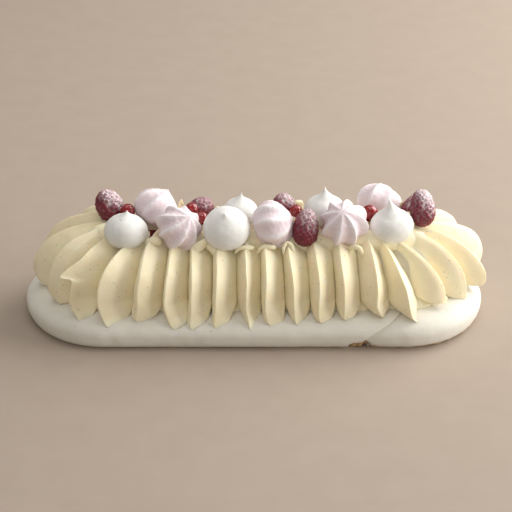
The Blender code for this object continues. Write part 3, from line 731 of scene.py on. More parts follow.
# %% Every fin in order
INNER_Y = 17
OUTER_Y = 52
BACK_FINS = 11
BACK_FIRST_X = 95
BACK_PITCH = 17
BACK_REACH = 51.5
BACK_SIZES = (45 * MM, 2.6, 0.5)  # rise, power, taper


def plan(x, y):
    """A plan point given in millimetres."""
    return np.array([x, y, 0.0]) * MM


def back_fin(count):
    """A fin of the back. Its reach, crest and tip wander by sines of its number, as the front's do."""
    x = BACK_FIRST_X - count * BACK_PITCH
    reach = BACK_REACH + 1.5 * math.sin(1.7 * count)
    crest = -0.5 * x / BACK_FIRST_X + 0.15 * math.sin(2.1 * count)
    shift = 2 * MM * math.sin(2.7 * count)
    ends = plan(0.95 * x, INNER_Y), plan(x, OUTER_Y)
    return Fin(*ends, crest, shift, reach * MM, *BACK_SIZES, soft=0.7)


def fan_fin(row, bevels, lift=0):
    """A fin of an end's fan, from its row of the table."""
    x_in, y_in, x_out, y_out, crest, reach, rise, power, taper = row
    ends = plan(x_in, y_in), plan(x_out, y_out)
    sizes = reach * MM, rise * MM, power, taper
    return Fin(*ends, crest, 0.0, *sizes, bevels, tip_lift=lift * MM)


def all_fins():
    """Every fin in order round the cake: front, right fan, back, left fan."""
    fins = []
    for x_in, x_out, crest, shift, reach, rise, power, taper, soft in FRONT:
        ends = plan(x_in, -INNER_Y), plan(x_out, -OUTER_Y)
        fins.append(Fin(*ends, crest, shift * MM, reach * MM, rise * MM, power, taper, soft=soft))
    fins += [fan_fin(row, RIGHT_BEVELS, lift) for row, lift in zip(RIGHT_FAN, RIGHT_LIFTS)]
    fins += [back_fin(count) for count in range(BACK_FINS)]
    fins += [fan_fin(row, LEFT_BEVELS) for row in LEFT_FAN]
    fins[-1] = fins[-1]._replace(tip_shift=LAST_SHIFT * MM)
    return fins


fins = all_fins()
print("fins", len(fins))

# %% Ridge of a fin
RIDGE_CENTRE = 22 * MM
HANGING_TIP = 19 * MM
INNER_STOP = 5 * MM
ROUND_TOP = 34 * MM
TIP_ROOM = 1 * MM
PULL_ROOM = 2 * MM
ROW_CROWDING = 0.12


def from_line(points):
    """Distance of points from the centre line of the oblong."""
    return np.hypot(points[..., 0] - np.clip(points[..., 0], -HALF_LINE, HALF_LINE), points[..., 1])


def tip_level(reach):
    """Height of a tip: on the base, or hanging past its edge."""
    return float(base_top(reach)) if reach < BASE_RADIUS else HANGING_TIP


def ridge_line(fin, rows):
    """The ridge from the inner end to the tip, as distance out, height and length walked.

    It is a superellipse down to RIDGE_CENTRE, or to TIP_ROOM over a lifted tip, and a straight pull from
    there to the tip. Under ROUND_TOP it is drawn in by the square of how far it has come down. Rows are
    spread evenly by length, and closer together at both ends.
    """
    reach = from_line(fin.outer)
    turn = np.linspace(math.asin((INNER_STOP / reach) ** (fin.power / 2)), math.pi / 2, 400)
    out = reach * np.sin(turn) ** (2 / fin.power)
    height = RIDGE_CENTRE + fin.rise * np.clip(np.cos(turn), 0, None) ** (2 / fin.power)
    tip = tip_level(fin.tip_reach) + fin.tip_lift
    stop = tip + TIP_ROOM if fin.tip_lift else min(tip + TIP_ROOM, RIDGE_CENTRE)
    keep = height >= stop
    out, height = out[keep], height[keep]
    drawn_in = max(reach - fin.tip_reach, 0) * (fin.tip_reach < reach - PULL_ROOM)
    low = np.clip((ROUND_TOP - height) / (ROUND_TOP - tip), 0, 1)
    out = out - drawn_in * low**2
    out = np.append(out, np.linspace(out[-1], fin.tip_reach, 60)[1:])
    height = np.append(height, np.linspace(height[-1], tip, 60)[1:])
    walked = np.append(0, np.cumsum(np.hypot(np.diff(out), np.diff(height))))
    even = np.linspace(0, 1, rows)
    spread = (even - ROW_CROWDING * np.sin(math.tau * even)) * walked[-1]
    return np.interp(spread, walked, out), np.interp(spread, walked, height), spread, walked[-1]


print("longest ridge", round(max(ridge_line(fin, 2)[3] for fin in fins) / MM, 1), "mm")

# %% Section of a fin
EDGE_DEPTH = 0.60
BEVEL_DROP = 0.10
LEFT_POWER = 1.25
RIGHT_POWER = 0.9
RIGHT_SOFTNESS = 0.3
FACE_POINTS = 34
WALL_POINTS = 5


def flank(share, bevel, power, soft):
    """Depth of a flank by its share of the way from the crest: a nearly flat bevel, then a power curve.

    It is mixed, by its softness, with an arc, which makes the crest round: 1 less the square root of
    1 less the share to the power 2.4.
    """
    beyond = np.clip((share - bevel) / (1 - bevel), 0, 1)
    top = BEVEL_DROP * np.clip(share / bevel, 0, 1) if bevel else 0.0
    rest = 1 - BEVEL_DROP if bevel else 1.0
    line = top + rest * beyond**power
    arc = 1 - np.sqrt(1 - 0.97 * share**2.4)
    return EDGE_DEPTH * ((1 - soft) * line + soft * arc)


def fin_section(crest, left_bevel, right_bevel, soft):
    """One section, as places across (-1 to 1) and depths under the ridge (0 to 1), once round.

    The flank left of the crest takes the fin's whole softness and the right one a part of it. Walls then
    go down from both flanks to the foot.
    """
    left = crest - (1 + crest) * np.linspace(1, 0, FACE_POINTS // 2) ** 1.3
    right = crest + (1 - crest) * np.linspace(0, 1, FACE_POINTS // 2 + 1)[1:] ** 1.1
    depth_left = flank((crest - left) / (1 + crest), left_bevel, LEFT_POWER, soft)
    right_power = RIGHT_POWER + 0.15 * soft
    depth_right = flank((right - crest) / (1 - crest), right_bevel, right_power, RIGHT_SOFTNESS * soft)
    down = np.linspace(EDGE_DEPTH, 1, WALL_POINTS + 1)[1:]
    wall = np.ones(WALL_POINTS)
    foot = np.linspace(1, -1, WALL_POINTS + 2)[1:-1]
    across = np.concatenate([left, right, wall, foot, -wall])
    depth = np.concatenate([depth_left, depth_right, down, wall, down[::-1]])
    return across, depth


print("points once round a fin", len(fin_section(0.0, 0.0, 0.0, 0.3)[0]))

# %% How a section changes along its ridge
TAPER_TOP = 32 * MM
ROUND_START = 5 * MM
TOP_RELIEF = 0.55
TOP_BAND = (CORE_TOP + 9 * MM, CORE_TOP - 4 * MM)
TIP_RELIEF = 0.25


def width_along(fin, height, walked):
    """How far the ridge is over its tip, as a share of the way to TAPER_TOP, and the width as a share.

    The width is 1 less the square of 1 less that share, to the power of the fin's taper. It opens in a
    quarter circle from the inner end.
    """
    foot = tip_level(fin.tip_reach) + fin.tip_lift
    above = np.clip((height - foot) / (TAPER_TOP - foot), 0, 1)
    wide = (1 - (1 - above) ** 2) ** fin.taper
    wide *= np.sqrt(np.clip(1 - (1 - np.clip(walked / ROUND_START, 0, 1)) ** 2, 0.02, 1))
    return above, wide


def relief_along(fin, height, above):
    """How deep the section is: low on top of the cake, full on its side, and low again by the tip."""
    relief = TOP_RELIEF + (1 - TOP_RELIEF) * smooth_step(*TOP_BAND, height)
    least = TIP_RELIEF - 0.15 * fin.soft
    return relief * (least + (1 - least) * above ** (0.5 + 0.6 * fin.soft))


def sway_along(fin, walked, length, seed):
    """How far the crest wanders to and fro, by a long and a short sine. A sharp crest wanders less."""
    sway = 0.07 * np.sin(walked / length * 5 + seed) + 0.03 * np.sin(walked / length * 13 + 2 * seed)
    return sway * (0.5 + 0.5 * fin.soft)


def clear_of_log(grid):
    """Push what lies in the log out to its superellipse, and lift what lies in the base on to it."""
    rise = np.clip(grid[..., 2] - CORE_FOOT, 0, None) / (CORE_TOP - CORE_FOOT)
    inside = (from_line(grid) / CORE_RADIUS) ** CORE_POWER + rise**CORE_POWER
    grow = np.where(inside < 1, np.clip(inside, 0.02, 1) ** (-1 / CORE_POWER), 1.0)
    middle = grid.copy()
    middle[..., 0] = np.clip(grid[..., 0], -HALF_LINE, HALF_LINE)
    middle[..., 1] = 0
    middle[..., 2] = CORE_FOOT
    grid = middle + (grid - middle) * grow[..., None]
    distance = from_line(grid)
    rest = np.where(distance < BASE_RADIUS, base_top(distance), 0)
    grid[..., 2] = np.maximum(grid[..., 2], rest)
    return grid


print("width half way down a fin", round(float(width_along(fins[2], 25 * MM, 50 * MM)[1]), 2))

# %% One stroke with a flick
FLICKED = fins[-1]
FLICK_AT = 44 * MM
FLICK_RISE = 8 * MM
FLICK_FALL = 2.4 * MM
FLICK_DEPTH = 0.20
FLICK = np.array([-9.5, -1.5, -1.0]) * MM


def flicked(grid, walked, depth):
    """Pull the crest out to a hook by a bell curve over the length, slow before it and sudden after."""
    near = np.where(walked < FLICK_AT, FLICK_RISE, FLICK_FALL)
    pull = np.exp(-(((walked - FLICK_AT) / near) ** 2))[:, None] * np.exp(-((depth / FLICK_DEPTH) ** 2))
    return grid + pull[..., None] * FLICK


print("flick", round(float(np.linalg.norm(FLICK)) / MM, 1), "mm to the left")

# %% Loft the fins
HUB = (14 * MM, 26 * MM)
SECTION_DEPTH = 0.65
OVERLAP = 0.1 * MM


def fin_skin(name, before, fin, after, seed, rows=84):
    """Carry the section along the ridge.

    Every section point is moved towards a hub inside the log by its depth. Its place across is a share
    of the way to the fins on both sides. What would lie in the log is pushed out to its superellipse,
    and what would lie in the base is lifted on to it.
    """
    inner, reach = from_line(fin.inner), from_line(fin.outer)
    ridge_out, ridge_height, walked, length = ridge_line(fin, rows)
    above, wide = width_along(fin, ridge_height, walked)
    above, wide = above[:, None], wide[:, None]
    sway = sway_along(fin, walked, length, seed)[:, None]
    relief = relief_along(fin, ridge_height[:, None], above)
    across, depth = fin_section(fin.crest, *fin.bevels, fin.soft)
    under = np.clip((depth - EDGE_DEPTH) / (1 - EDGE_DEPTH), 0, 1)
    depth = depth[None, :] * (relief + (1 - relief) * under)
    out = ridge_out[:, None] + SECTION_DEPTH * depth * (HUB[0] - ridge_out[:, None])
    height = ridge_height[:, None] + SECTION_DEPTH * depth * (HUB[1] - ridge_height[:, None])
    share = wide + (1 - wide) * under**3
    place = across * share + sway * share * np.clip(1 - depth / EDGE_DEPTH, 0, 1)
    aside = (1 - above) ** 1.5 * (1 - under)
    place += 4 * fin.tip_shift * aside / np.linalg.norm(after.outer - before.outer)
    run = ((out - inner) / (reach - inner))[..., None]
    middle = fin.inner + (fin.outer - fin.inner) * run
    ahead = after.inner + (after.outer - after.inner) * run
    behind = before.inner + (before.outer - before.inner) * run
    side = np.where((place > 0)[..., None], ahead, behind)
    half = np.linalg.norm(side - middle, axis=-1) / 2
    place = np.minimum(np.abs(place), 1 + OVERLAP / half)
    grid = middle + (side - middle) * (place / 2)[..., None]
    grid[..., 2] = height
    if fin is FLICKED:
        grid = flicked(grid, walked, depth)
    grid = clear_of_log(lumpy(grid, 0.16 * MM, 16 * MM, seed))
    first = grid[0, : len(across) // 2].mean(axis=0)
    last = grid[-1, FACE_POINTS // 2]
    return skin(name, first, grid, last)


fin_faces = 0
for count, fin in enumerate(fins):
    before, after = fins[count - 1], fins[(count + 1) % len(fins)]
    fin_mesh = fin_skin(f"cream_fin_{count + 1:02d}", before, fin, after, 3 * count + 1)
    add_piece(fin_mesh, cream, "vanilla_cream", f"cream_stroke_{count + 1:02d}")
    fin_faces += len(fin_mesh.polygons)
print("fins", fin_faces, "faces")

# %% [markdown]
# ## Lips, curls and peaks of cream
#
# Where a stroke of the piping bag starts, the cream folds over itself: round caps, small hooks and thin
# curls stand between the fins and the toppings, and the toppings sit in beds of cream. Sculpting could
# make them, but a bent tube is enough for each. Its path is a smooth curve through a few points, and its
# section is an ellipse that swells and thins along the way.


# %% Strands of cream
def smooth_path(points, rows):
    """Catmull-Rom curve: every span is a cubic whose slopes are half the chord of its neighbours."""
    points = np.asarray(points, float)
    ends = np.vstack([2 * points[0] - points[1], points, 2 * points[-1] - points[-2]])
    place = np.linspace(0, len(points) - 1, rows)
    span = np.minimum(place.astype(int), len(points) - 2)
    t = (place - span)[:, None]
    a, b, c, d = ends[span], ends[span + 1], ends[span + 2], ends[span + 3]
    return b + 0.5 * t * (c - a + t * (2 * a - 5 * b + 4 * c - d + t * (3 * b - a - 3 * c + d)))


def strand_skin(name, stops, flat, seed, rows=64, columns=28, grain=0.12):
    """Sweep an ellipse along stops of (x, y, z, radius) in mm; flat is its height over its width."""
    path = smooth_path(stops, rows) * MM
    line, radius = path[:, :3], path[:, 3]
    ahead = np.gradient(line, axis=0)
    ahead /= np.linalg.norm(ahead, axis=1, keepdims=True)
    side = np.cross(ahead, (0.12, -0.8, 0.6))
    side /= np.linalg.norm(side, axis=1, keepdims=True)
    up = np.cross(side, ahead)
    share = np.linspace(-1, 1, rows)
    size = radius * np.sqrt(1 - (0.985 * share) ** 8)
    turn = np.arange(columns) / columns * math.tau
    ring = side[:, None] * np.cos(turn)[None, :, None] + flat * up[:, None] * np.sin(turn)[None, :, None]
    grid = line[:, None] + ring * size[:, None, None]
    first = line[0] - 0.1 * radius[0] * ahead[0]
    last = line[-1] + 0.1 * radius[-1] * ahead[-1]
    return skin(name, first, lumpy(grid, grain * MM, 5 * MM, seed), last)


print("a path bends through", smooth_path([[0, 0], [1, 1], [2, 0]], 5).round(2).tolist())

# %% Table of strands
LONG_STRAND = 9
# Label: flatness of the section, then stops of (x, y, z, radius) in mm
STRANDS = {
    "cap_1": (
        0.8, (-71.5, -18.5, 60, 2.2), (-68.6, -20.3, 63.0, 2.8), (-65.0, -21, 63.6, 3.0),
        (-61.6, -20, 61.5, 2.4),
    ),
    "lip_3": (
        0.8, (-40, -27.5, 57, 2.0), (-38, -25.5, 60.6, 3.0), (-34.6, -23.4, 62.4, 3.2),
        (-32.0, -21.2, 64.4, 1.9), (-31.0, -20.2, 65.6, 0.7),
    ),
    "curl_3": (
        0.8, (-31.5, -21, 60.5, 2.2), (-29.0, -24.0, 61.4, 2.7), (-26.6, -27.0, 60.2, 2.5),
        (-25.0, -29, 56.5, 1.6),
    ),
    "hook_5": (
        0.8, (-12.5, -27, 57.5, 0.9), (-10, -26.6, 61.0, 1.3), (-6, -26.4, 61.9, 1.6),
        (-2, -25.2, 61.2, 1.6), (0.5, -23.5, 60, 1.2),
    ),
    "hook_6": (
        0.8, (2.5, -26.5, 57.5, 0.9), (4.6, -26.2, 61.2, 1.3), (8.4, -25.6, 62.2, 1.6),
        (12.5, -25.2, 61.6, 1.6), (15, -23.5, 60, 1.2),
    ),
    "loop_7": (
        0.8, (19.6, -28, 57.5, 0.9), (20.0, -25.6, 62.0, 1.2), (22.0, -23.6, 63.8, 1.3),
        (24.6, -24.5, 62.9, 1.5), (27, -27, 58, 1.3),
    ),
    "hook_10": (
        0.8, (63.5, -23, 58.5, 1.2), (66.0, -25.0, 61.6, 1.5), (70.0, -26.5, 61.4, 1.5),
        (72.5, -28, 57.5, 1.0),
    ),
    "peak_back_1": (1.0, (-49.8, 24.5, 64, 2.4), (-49.8, 23.8, 68.4, 1.6), (-49.6, 23.2, 71.4, 0.6)),
    "peak_back_2": (0.7, (30.5, 30, 60, 3.4), (30.6, 29, 64, 3.4), (30.6, 28.5, 67.6, 3.0)),
    "peak_back_3": (1.0, (100.9, 26, 60, 2.2), (101.2, 25, 66, 1.5), (101.4, 24, 69.6, 0.7)),
    "bed_left": (1.0, (-112, -2, 50, 6), (-104, -3, 57.0, 8), (-95, -2, 57.5, 8.5), (-84, -3, 54, 7)),
    "bed_front": (
        1.0, (-64, -12, 52, 6), (-58, -11, 56, 7.5), (-36, -11, 57.6, 8), (-12, -11.5, 57.8, 8),
        (16, -11, 58, 8), (44, -11, 57.4, 8.4), (70, -11.5, 57.6, 8.4), (92, -10, 57.6, 8.6),
        (108, -5, 55.5, 8.6), (114, -1, 50, 6),
    ),
    "bed_back": (
        1.0, (-106, 10, 52, 7), (-96, 12, 56, 8), (-60, 12, 56, 7.5), (-20, 12, 56, 7.5),
        (20, 12, 56, 7.5), (60, 12, 56, 7.5), (96, 12, 56.4, 8), (108, 8, 52, 7),
    ),
}
for count, (label, (flat, *stops)) in enumerate(STRANDS.items()):
    rows = 64 if len(stops) < LONG_STRAND else 240
    strand_mesh = strand_skin(f"cream_{label}", stops, flat, 200 + 3 * count, rows)
    add_piece(strand_mesh, cream, "vanilla_cream")
print("strands", len(STRANDS))

# %% [markdown]
# ## Crumbs in the notch
#
# Inside the notch the meringue is toasted, gold to brown, and broken into crumbs. A particle system could
# scatter many, but only two short heaps of them show. Each is the same bent tube as a strand of cream,
# with three times its grain, so that its surface breaks up.

# %% Toasted crumbs
CRUMB_BROWN = (0.24, 0.12, 0.045, 1)
CRUMB_GOLD = (0.66, 0.46, 0.22, 1)
CRUMB_FLAT = 0.8
CRUMBS = {
    "crumb_1": (
        (64.5, -50.5, 0.8, 0.8), (67.0, -50.6, 1.6, 1.6), (70.0, -50.4, 2.4, 2.3),
        (72.6, -50.6, 1.8, 1.6),
    ),
    "crumb_2": ((70.5, -49.5, 3.0, 1.2), (73.0, -49.6, 3.6, 1.9), (75.5, -50.0, 2.6, 1.2)),
}


def crumb_finish():
    """Toasted meringue crumb, from gold to brown."""
    finish, tree, shader, place = start_finish("toasted_crumb_finish")
    tone = blend(tree, noise(tree, place, 2.2 * MM, 3.0), CRUMB_BROWN, CRUMB_GOLD)
    tree.links.new(tone, shader.inputs["Base Color"])
    cloudy_roughness(tree, shader, place, 2 * MM, 0.7, 0.85)
    raise_bump(tree, shader, (noise(tree, place, 1.2 * MM, 4.0), 0.5 * MM))
    return finish


crumb = crumb_finish()
for count, (label, stops) in enumerate(CRUMBS.items()):
    crumb_mesh = strand_skin(label, stops, CRUMB_FLAT, 300 + 5 * count, grain=0.35)
    add_piece(crumb_mesh, crumb, "white_meringue")
print("crumbs", len(CRUMBS))

# %% [markdown]
# ## The skirt of cream
#
# Between the tips of the fins a low, uneven edge of cream lies on the base. Each fin could end in its own
# puddle, but then there would be gaps. One ring of cream round the whole foot closes them, and its outer
# edge wanders in and out by lumps.

# %% Skirt round the foot of the fins
# Section of the skirt: distance out, and height over the base's top, in mm
SKIRT_OUT = (24, 26, 29, 31.5, 34, 36, 37.4, 38.4, 39, 38.8, 30, 24)
SKIRT_OVER = (8, 14, 13, 10, 7.2, 4.8, 2.8, 1.4, 0.5, -0.4, -0.6, 0)
SKIRT_STILL = 26 * MM
SKIRT_EDGE = 40 * MM


def skirt_grid(columns=900):
    """A low wedge carried round the plan. Its rows are moved out and in by lumps, most at its edge."""
    along = np.arange(columns) / columns * LAP
    walk, distance = np.meshgrid(along, np.array(SKIRT_OUT) * MM)
    edge = carried(walk, BASE_RADIUS + 0 * walk, 0)[0]
    wander = 1.4 * MM * lumps(edge, 13 * MM, 31) + 0.5 * MM * lumps(edge, 5 * MM, 32)
    distance = distance + wander * smooth_step(SKIRT_STILL, SKIRT_EDGE, distance)
    height = base_top(distance) + (np.array(SKIRT_OVER) * MM)[:, None]
    return carried(walk, distance, height)[0]


def ring_skin(name, grid):
    """Close a grid into a ring: quads join the rows round the section and the columns round the plan."""
    rows, columns = grid.shape[:2]
    here = np.arange(rows * columns).reshape(rows, columns)
    below, beside = np.roll(here, -1, axis=0), np.roll(here, -1, axis=1)
    across = np.roll(below, -1, axis=1)
    quads = np.stack([here, beside, across, below], axis=-1).reshape(-1, 4)
    return closed_mesh(name, grid.reshape(-1, 3), quads, np.empty((0, 3), int))


skirt_mesh = ring_skin("cream_skirt", skirt_grid())
add_piece(skirt_mesh, cream, "vanilla_cream")
print("skirt", len(skirt_mesh.polygons), "faces")

# %% [markdown]
# ## Standing a topping on the cake
#
# The toppings are turned and pressed into the cream at their own angles. The object's rotation could do
# that, but a finished piece keeps its place in its mesh. So each is made upright first, round the origin,
# and then its points are turned so that +Z becomes the way its tip points, and moved.

# %% Topping tables
# Place in mm (of the foot, or the middle of a berry), way of the tip, radius and height in mm, spin in
# radians
Topping = namedtuple("Topping", "x y z tip radius height spin", defaults=[0.0, 0.0])
WHITE_DROPS = (
    Topping(-86, -12.5, 57.9, (0.05, 0.10, 1.0), 14.8, 24.3),
    Topping(-18, -12.4, 62.9, (-0.03, -0.42, 0.90), 15.9, 24),
    Topping(-9.5, 15.5, 58.7, (0.02, 0.05, 1.0), 12.5, 21.8),
    Topping(48, 16.0, 58.5, (0.02, 0.05, 1.0), 14.2, 26),
    Topping(93, -7.0, 59.6, (-0.08, 0.03, 1.0), 14.6, 29.4),
)
PINK_STARS = (
    Topping(-72.3, 8.0, 62.3, (0.54, 0.42, 0.73), 15.9, 26.5, 0.2),
    Topping(-55.4, -9.5, 61.5, (0.50, -0.38, 0.78), 16.4, 26.5, -0.2),
    Topping(2.5, -10.5, 65.5, (0.88, 0.0, 0.42), 16.6, 25, 0.65),
    Topping(61.2, -5.5, 61.8, (-0.10, -0.48, 0.87), 17.2, 26.5, 0.25),
    Topping(83.1, 22.7, 57.5, (0.20, 0.75, 0.63), 16.2, 26, 0.2),
)
RASPBERRIES = (
    Topping(-98.2, 15.5, 71.2, (-0.45, 0.20, 0.87), 9.8, 23, 0.0),
    Topping(-36.3, 21.5, 64.2, (0.55, 0.30, 0.60), 8.9, 20, 1.0),
    Topping(20.5, 23.5, 66.5, (-0.20, 0.30, 0.90), 8.2, 18, 2.0),
    Topping(34.7, -13.9, 70.1, (0.10, 0.50, 0.86), 8.8, 26, 3.0),
    Topping(113.5, 4.5, 75.0, (-0.08, 0.42, 0.90), 8.9, 26, 4.0),
    Topping(110.2, 21.5, 66.3, (0.65, 0.35, 0.65), 8.2, 24, 5.0),
)
# Redcurrants: x, y, z and radius in mm
REDCURRANTS = (
    (-85.3, 7.3, 71.2, 5.1),
    (-42.3, 10.3, 71.0, 4.6),
    (-35.6, 3.6, 67.7, 4.6),
    (28.5, 12, 68.3, 4.6),
    (78.2, 6.9, 69.7, 5.8),
)
print("toppings", len(WHITE_DROPS) + len(PINK_STARS) + len(RASPBERRIES) + len(REDCURRANTS))


# %% Turning and placing
def turned(ways, topping):
    """Turn upright points or ways so that +Z becomes the tip's way, by Rodrigues' formula."""
    tip = np.array(topping.tip) / np.linalg.norm(topping.tip)
    axis = np.cross((0, 0, 1), tip)
    sine, cosine = np.linalg.norm(axis), tip[2]
    axis = axis / max(sine, 1e-9)
    spun = np.cross(axis, ways)
    along = (ways @ axis)[..., None] * axis
    return ways * cosine + spun * sine + along * (1 - cosine)


def placed(points, topping):
    """Turn upright points, and move their origin to the topping's place."""
    return turned(points, topping) + plan(topping.x, topping.y) + (0, 0, topping.z * MM)


def round_grid(rows_at, columns):
    """Two grids, rows x columns: the rows' values, and the angles of the columns."""
    return np.meshgrid(rows_at, np.arange(columns) / columns * math.tau, indexing="ij")


def round_points(out, level, angle):
    """Points from radius, height and angle."""
    return np.stack([out * np.cos(angle), out * np.sin(angle), level + 0 * angle], axis=-1)


print("the first drop's foot is at", placed(np.zeros(3), WHITE_DROPS[0]).round(4).tolist())

# %% [markdown]
# ## White meringue drops
#
# A drop is piped straight down and the nozzle lifted away: a round belly, a flat foot, and a point that
# is drawn up and curls over a little. A Screw modifier would turn a perfectly round one. Here the radius
# also wanders with the angle, and the point is bent sideways by the square of its height.

# %% Half section of a piped meringue
BELLY_HEIGHT = 0.80
TIP_RADIUS = 0.025
TIP_APPROACH = 0.075
TIP_BELOW = 0.03


def half_section(radius, height, rows, lift, low, high, pull, hold):
    """Half section: an elliptic belly from angle low to high, then a Bezier curve up to a small tip.

    The belly is radius wide and BELLY_HEIGHT radii high about the height lift. The curve leaves it along
    its tangent, by pull radii, and arrives steeply, from hold of the way up.
    """
    angle = np.radians(np.linspace(low, high, 60))
    belly = np.stack([radius * np.cos(angle), lift + BELLY_HEIGHT * radius * np.sin(angle)], axis=-1)
    start, end = belly[-1], np.array([TIP_RADIUS * radius, height - TIP_BELOW * radius])
    tangent = np.array([-math.sin(angle[-1]), BELLY_HEIGHT * math.cos(angle[-1])])
    leave = start + pull * radius * tangent
    arrive = np.array([TIP_APPROACH * radius, leave[1] + hold * (end[1] - leave[1])])
    way = np.linspace(0, 1, 40)[1:, None]
    back = 1 - way
    bend = back**3 * start + 3 * back**2 * way * leave + 3 * back * way**2 * arrive + way**3 * end
    line = np.vstack([np.maximum(belly, 0), bend])
    walked = np.append(0, np.cumsum(np.linalg.norm(np.diff(line, axis=0), axis=1)))
    even = np.linspace(0, walked[-1], rows)
    return np.interp(even, walked, line[:, 0]), np.interp(even, walked, line[:, 1])


def roughened(points, level, depth, wavelength, seed):
    """Push each coordinate out and in by lumps that fade out at the foot."""
    rough = depth * lumps(points, wavelength, seed) * smooth_step(0, 2 * MM, level)
    return points + rough[..., None] * np.sign(points) * 0.6


def closed_topping(name, points, topping):
    """Close upright points by the middle of the foot and by a point just over the tip, and place them."""
    radius = topping.radius * MM
    tip = points[-1].mean(axis=0) + (0, 0, 0.02 * radius)
    return skin(name, placed(np.zeros(3), topping), placed(points, topping), placed(tip, topping))


example = half_section(1, 2, 9, 0.5, -40, 60, 0.4, 0.45)
print("radius and height at the tip", [round(float(line[-1]), 3) for line in example])

# %% Drops
DROP_LIFT = 0.55
DROP_FOOT = -43
DROP_HOLD = 0.45
DROP_CURLS = ((0.5, 0.2, -0.9), (-0.5, 1.0, 0.0), (0.8, 0.0, 0.0), (-0.6, 0.3, 0.0), (-1.1, 0.4, -1.2))
# The angle in degrees at which a belly turns into its point: a high one gives a thinner point
DROP_SHOULDERS = (60, 62, 56, 54, 48)


def drop_skin(name, topping, curl, shoulder, seed, rows=110, columns=128):
    """A drop: the turned half section, wandering by 1 to 2 percent, with its point bent by curl in mm."""
    radius, height = topping.radius * MM, topping.height * MM
    pull = 0.42 - 0.01 * (shoulder - 46)
    section = half_section(radius, height, rows, DROP_LIFT * radius, DROP_FOOT, shoulder, pull, DROP_HOLD)
    out, angle = round_grid(section[0], columns)
    level = round_grid(section[1], columns)[0]
    wander = 0.012 * np.sin(2 * angle + seed) + 0.008 * np.sin(3 * angle + 2 * seed)
    out = out * (1 + wander * smooth_step(0, 0.5 * radius, level))
    points = round_points(out, level, angle)
    above = np.clip((level - 0.8 * height) / (0.2 * height), 0, None) ** 2
    points += above[..., None] * np.array(curl) * MM
    return closed_topping(name, roughened(points, level, 0.10 * MM, 7 * MM, seed), topping)


for count, (topping, curl, shoulder) in enumerate(zip(WHITE_DROPS, DROP_CURLS, DROP_SHOULDERS), 1):
    drop_mesh = drop_skin(f"white_drop_{count}", topping, curl, shoulder, 40 + count)
    add_piece(drop_mesh, white, "white_meringue", f"meringue_drop_{count}")
print("drops", len(WHITE_DROPS), "with", len(drop_mesh.polygons), "faces each")

# %% [markdown]
# ## Pink star meringues
#
# These come from a star nozzle with eight teeth. Each tooth leaves a sharp ridge with a hollow panel
# beside it, and the ridges wind a little as the bag is twisted off. They could be cut from a drop with
# eight curved knives. But the absolute value of a sine has just that shape, a sharp corner at zero and a
# smooth bulge between, so it is turned inwards and cuts the radius.

# %% Stars
STAR_LOBES = 8
STAR_TWIST = math.radians(25)
STAR_LIFT = 0.68
STAR_FOOT = -56
STAR_SHOULDER = 52
STAR_PULL = 0.45
STAR_HOLD = 0.5
STAR_GROOVES = (0.16, 0.19, 0.11, 0.21, 0.15)
STAR_SOFTNESS = (0.30, 0.10, 0.40, 0.05, 0.12)
# Strength of the painted highlight, with some pale dust, on the ridges of the stars
RIDGE_DUST_AND_HIGHLIGHT = 0.45


def star_skin(name, topping, groove, soft, seed, rows=120, columns=240):
    """A drop's half section whose radius is cut in by the softened absolute sine of the lobes."""
    radius, height = topping.radius * MM, topping.height * MM
    angles = STAR_FOOT, STAR_SHOULDER
    section = half_section(radius, height, rows, STAR_LIFT * radius, *angles, STAR_PULL, STAR_HOLD)
    out, angle = round_grid(section[0], columns)
    level = round_grid(section[1], columns)[0]
    turn = angle - topping.spin - STAR_TWIST * level / height
    wave = np.sin(STAR_LOBES / 2 * turn)
    hollow = (np.sqrt(wave**2 + soft**2) - soft) / (math.sqrt(1 + soft**2) - soft)
    fade = smooth_step(0, 0.12 * height, level) * 0.5 + 0.5
    out = out * (1 - groove * hollow * fade)
    uneven = 0.03 * np.sin(angle * 3 + seed) + 0.02 * np.sin(angle * 5 + 2 * seed)
    out = out * (1 + uneven * smooth_step(0, 0.5 * height, height - level))
    points = round_points(out, level, angle)
    mesh = closed_topping(name, roughened(points, level, 0.12 * MM, 4 * MM, seed), topping)
    # Painted highlight, with some pale dust: lighter on the ridges, less in the hollows, none at the foot
    pale_share = RIDGE_DUST_AND_HIGHLIGHT * np.clip(1 - 1.4 * hollow, 0, 1) * smooth_step(0, 0.4 * height, level)
    paint(mesh, "ridge", np.append(pale_share, [0, RIDGE_DUST_AND_HIGHLIGHT]))
    return mesh


for count, (topping, groove, soft) in enumerate(zip(PINK_STARS, STAR_GROOVES, STAR_SOFTNESS), 1):
    star_mesh = star_skin(f"pink_star_{count}", topping, groove, soft, 60 + count)
    add_piece(star_mesh, pink, "pink_meringue", f"meringue_star_{count}")
print("stars", len(PINK_STARS), "with", len(star_mesh.polygons), "faces each")

# %% [markdown]
# ## Raspberries
#
# A raspberry is a blunt cone of many little drupelets, packed like seeds in a sunflower. Each could be a
# small sphere, but then the berry would be hollow between them. Instead one skin is pushed out over
# every drupelet: its height is that of a half ball round the nearest centre, so neighbours meet in a
# crease by themselves. The centres follow a spiral with the golden angle, a little shaken.

# %% Drupelets
DRUPELETS = 160
DRUPELET_REACH = 1.8 * MM
DRUPELET_RISE = 1.2 * MM
DRUPELET_SUNK = 0.62
BERRY_BODY = 0.93
BERRY_ENDS = 0.6 * MM
SEAT_SHAKE = 0.018
SWING_SHAKE = 0.10
GOLDEN_ANGLE = math.pi * (3 - math.sqrt(5))


def berry_side(topping, level):
    """Radius at a level from -1, the broad end, to 1: a superellipse of power 2.4, slimmer at the tip."""
    return topping.radius * MM * np.sqrt(np.clip(1 - np.abs(level) ** 2.4, 0, None)) * (1 - 0.12 * level)


def berry_points(topping, level, angle):
    """Points on the berry's body, under its drupelets."""
    half = topping.height / 2 * MM
    return round_points(BERRY_BODY * berry_side(topping, level), level * (half - BERRY_ENDS), angle)


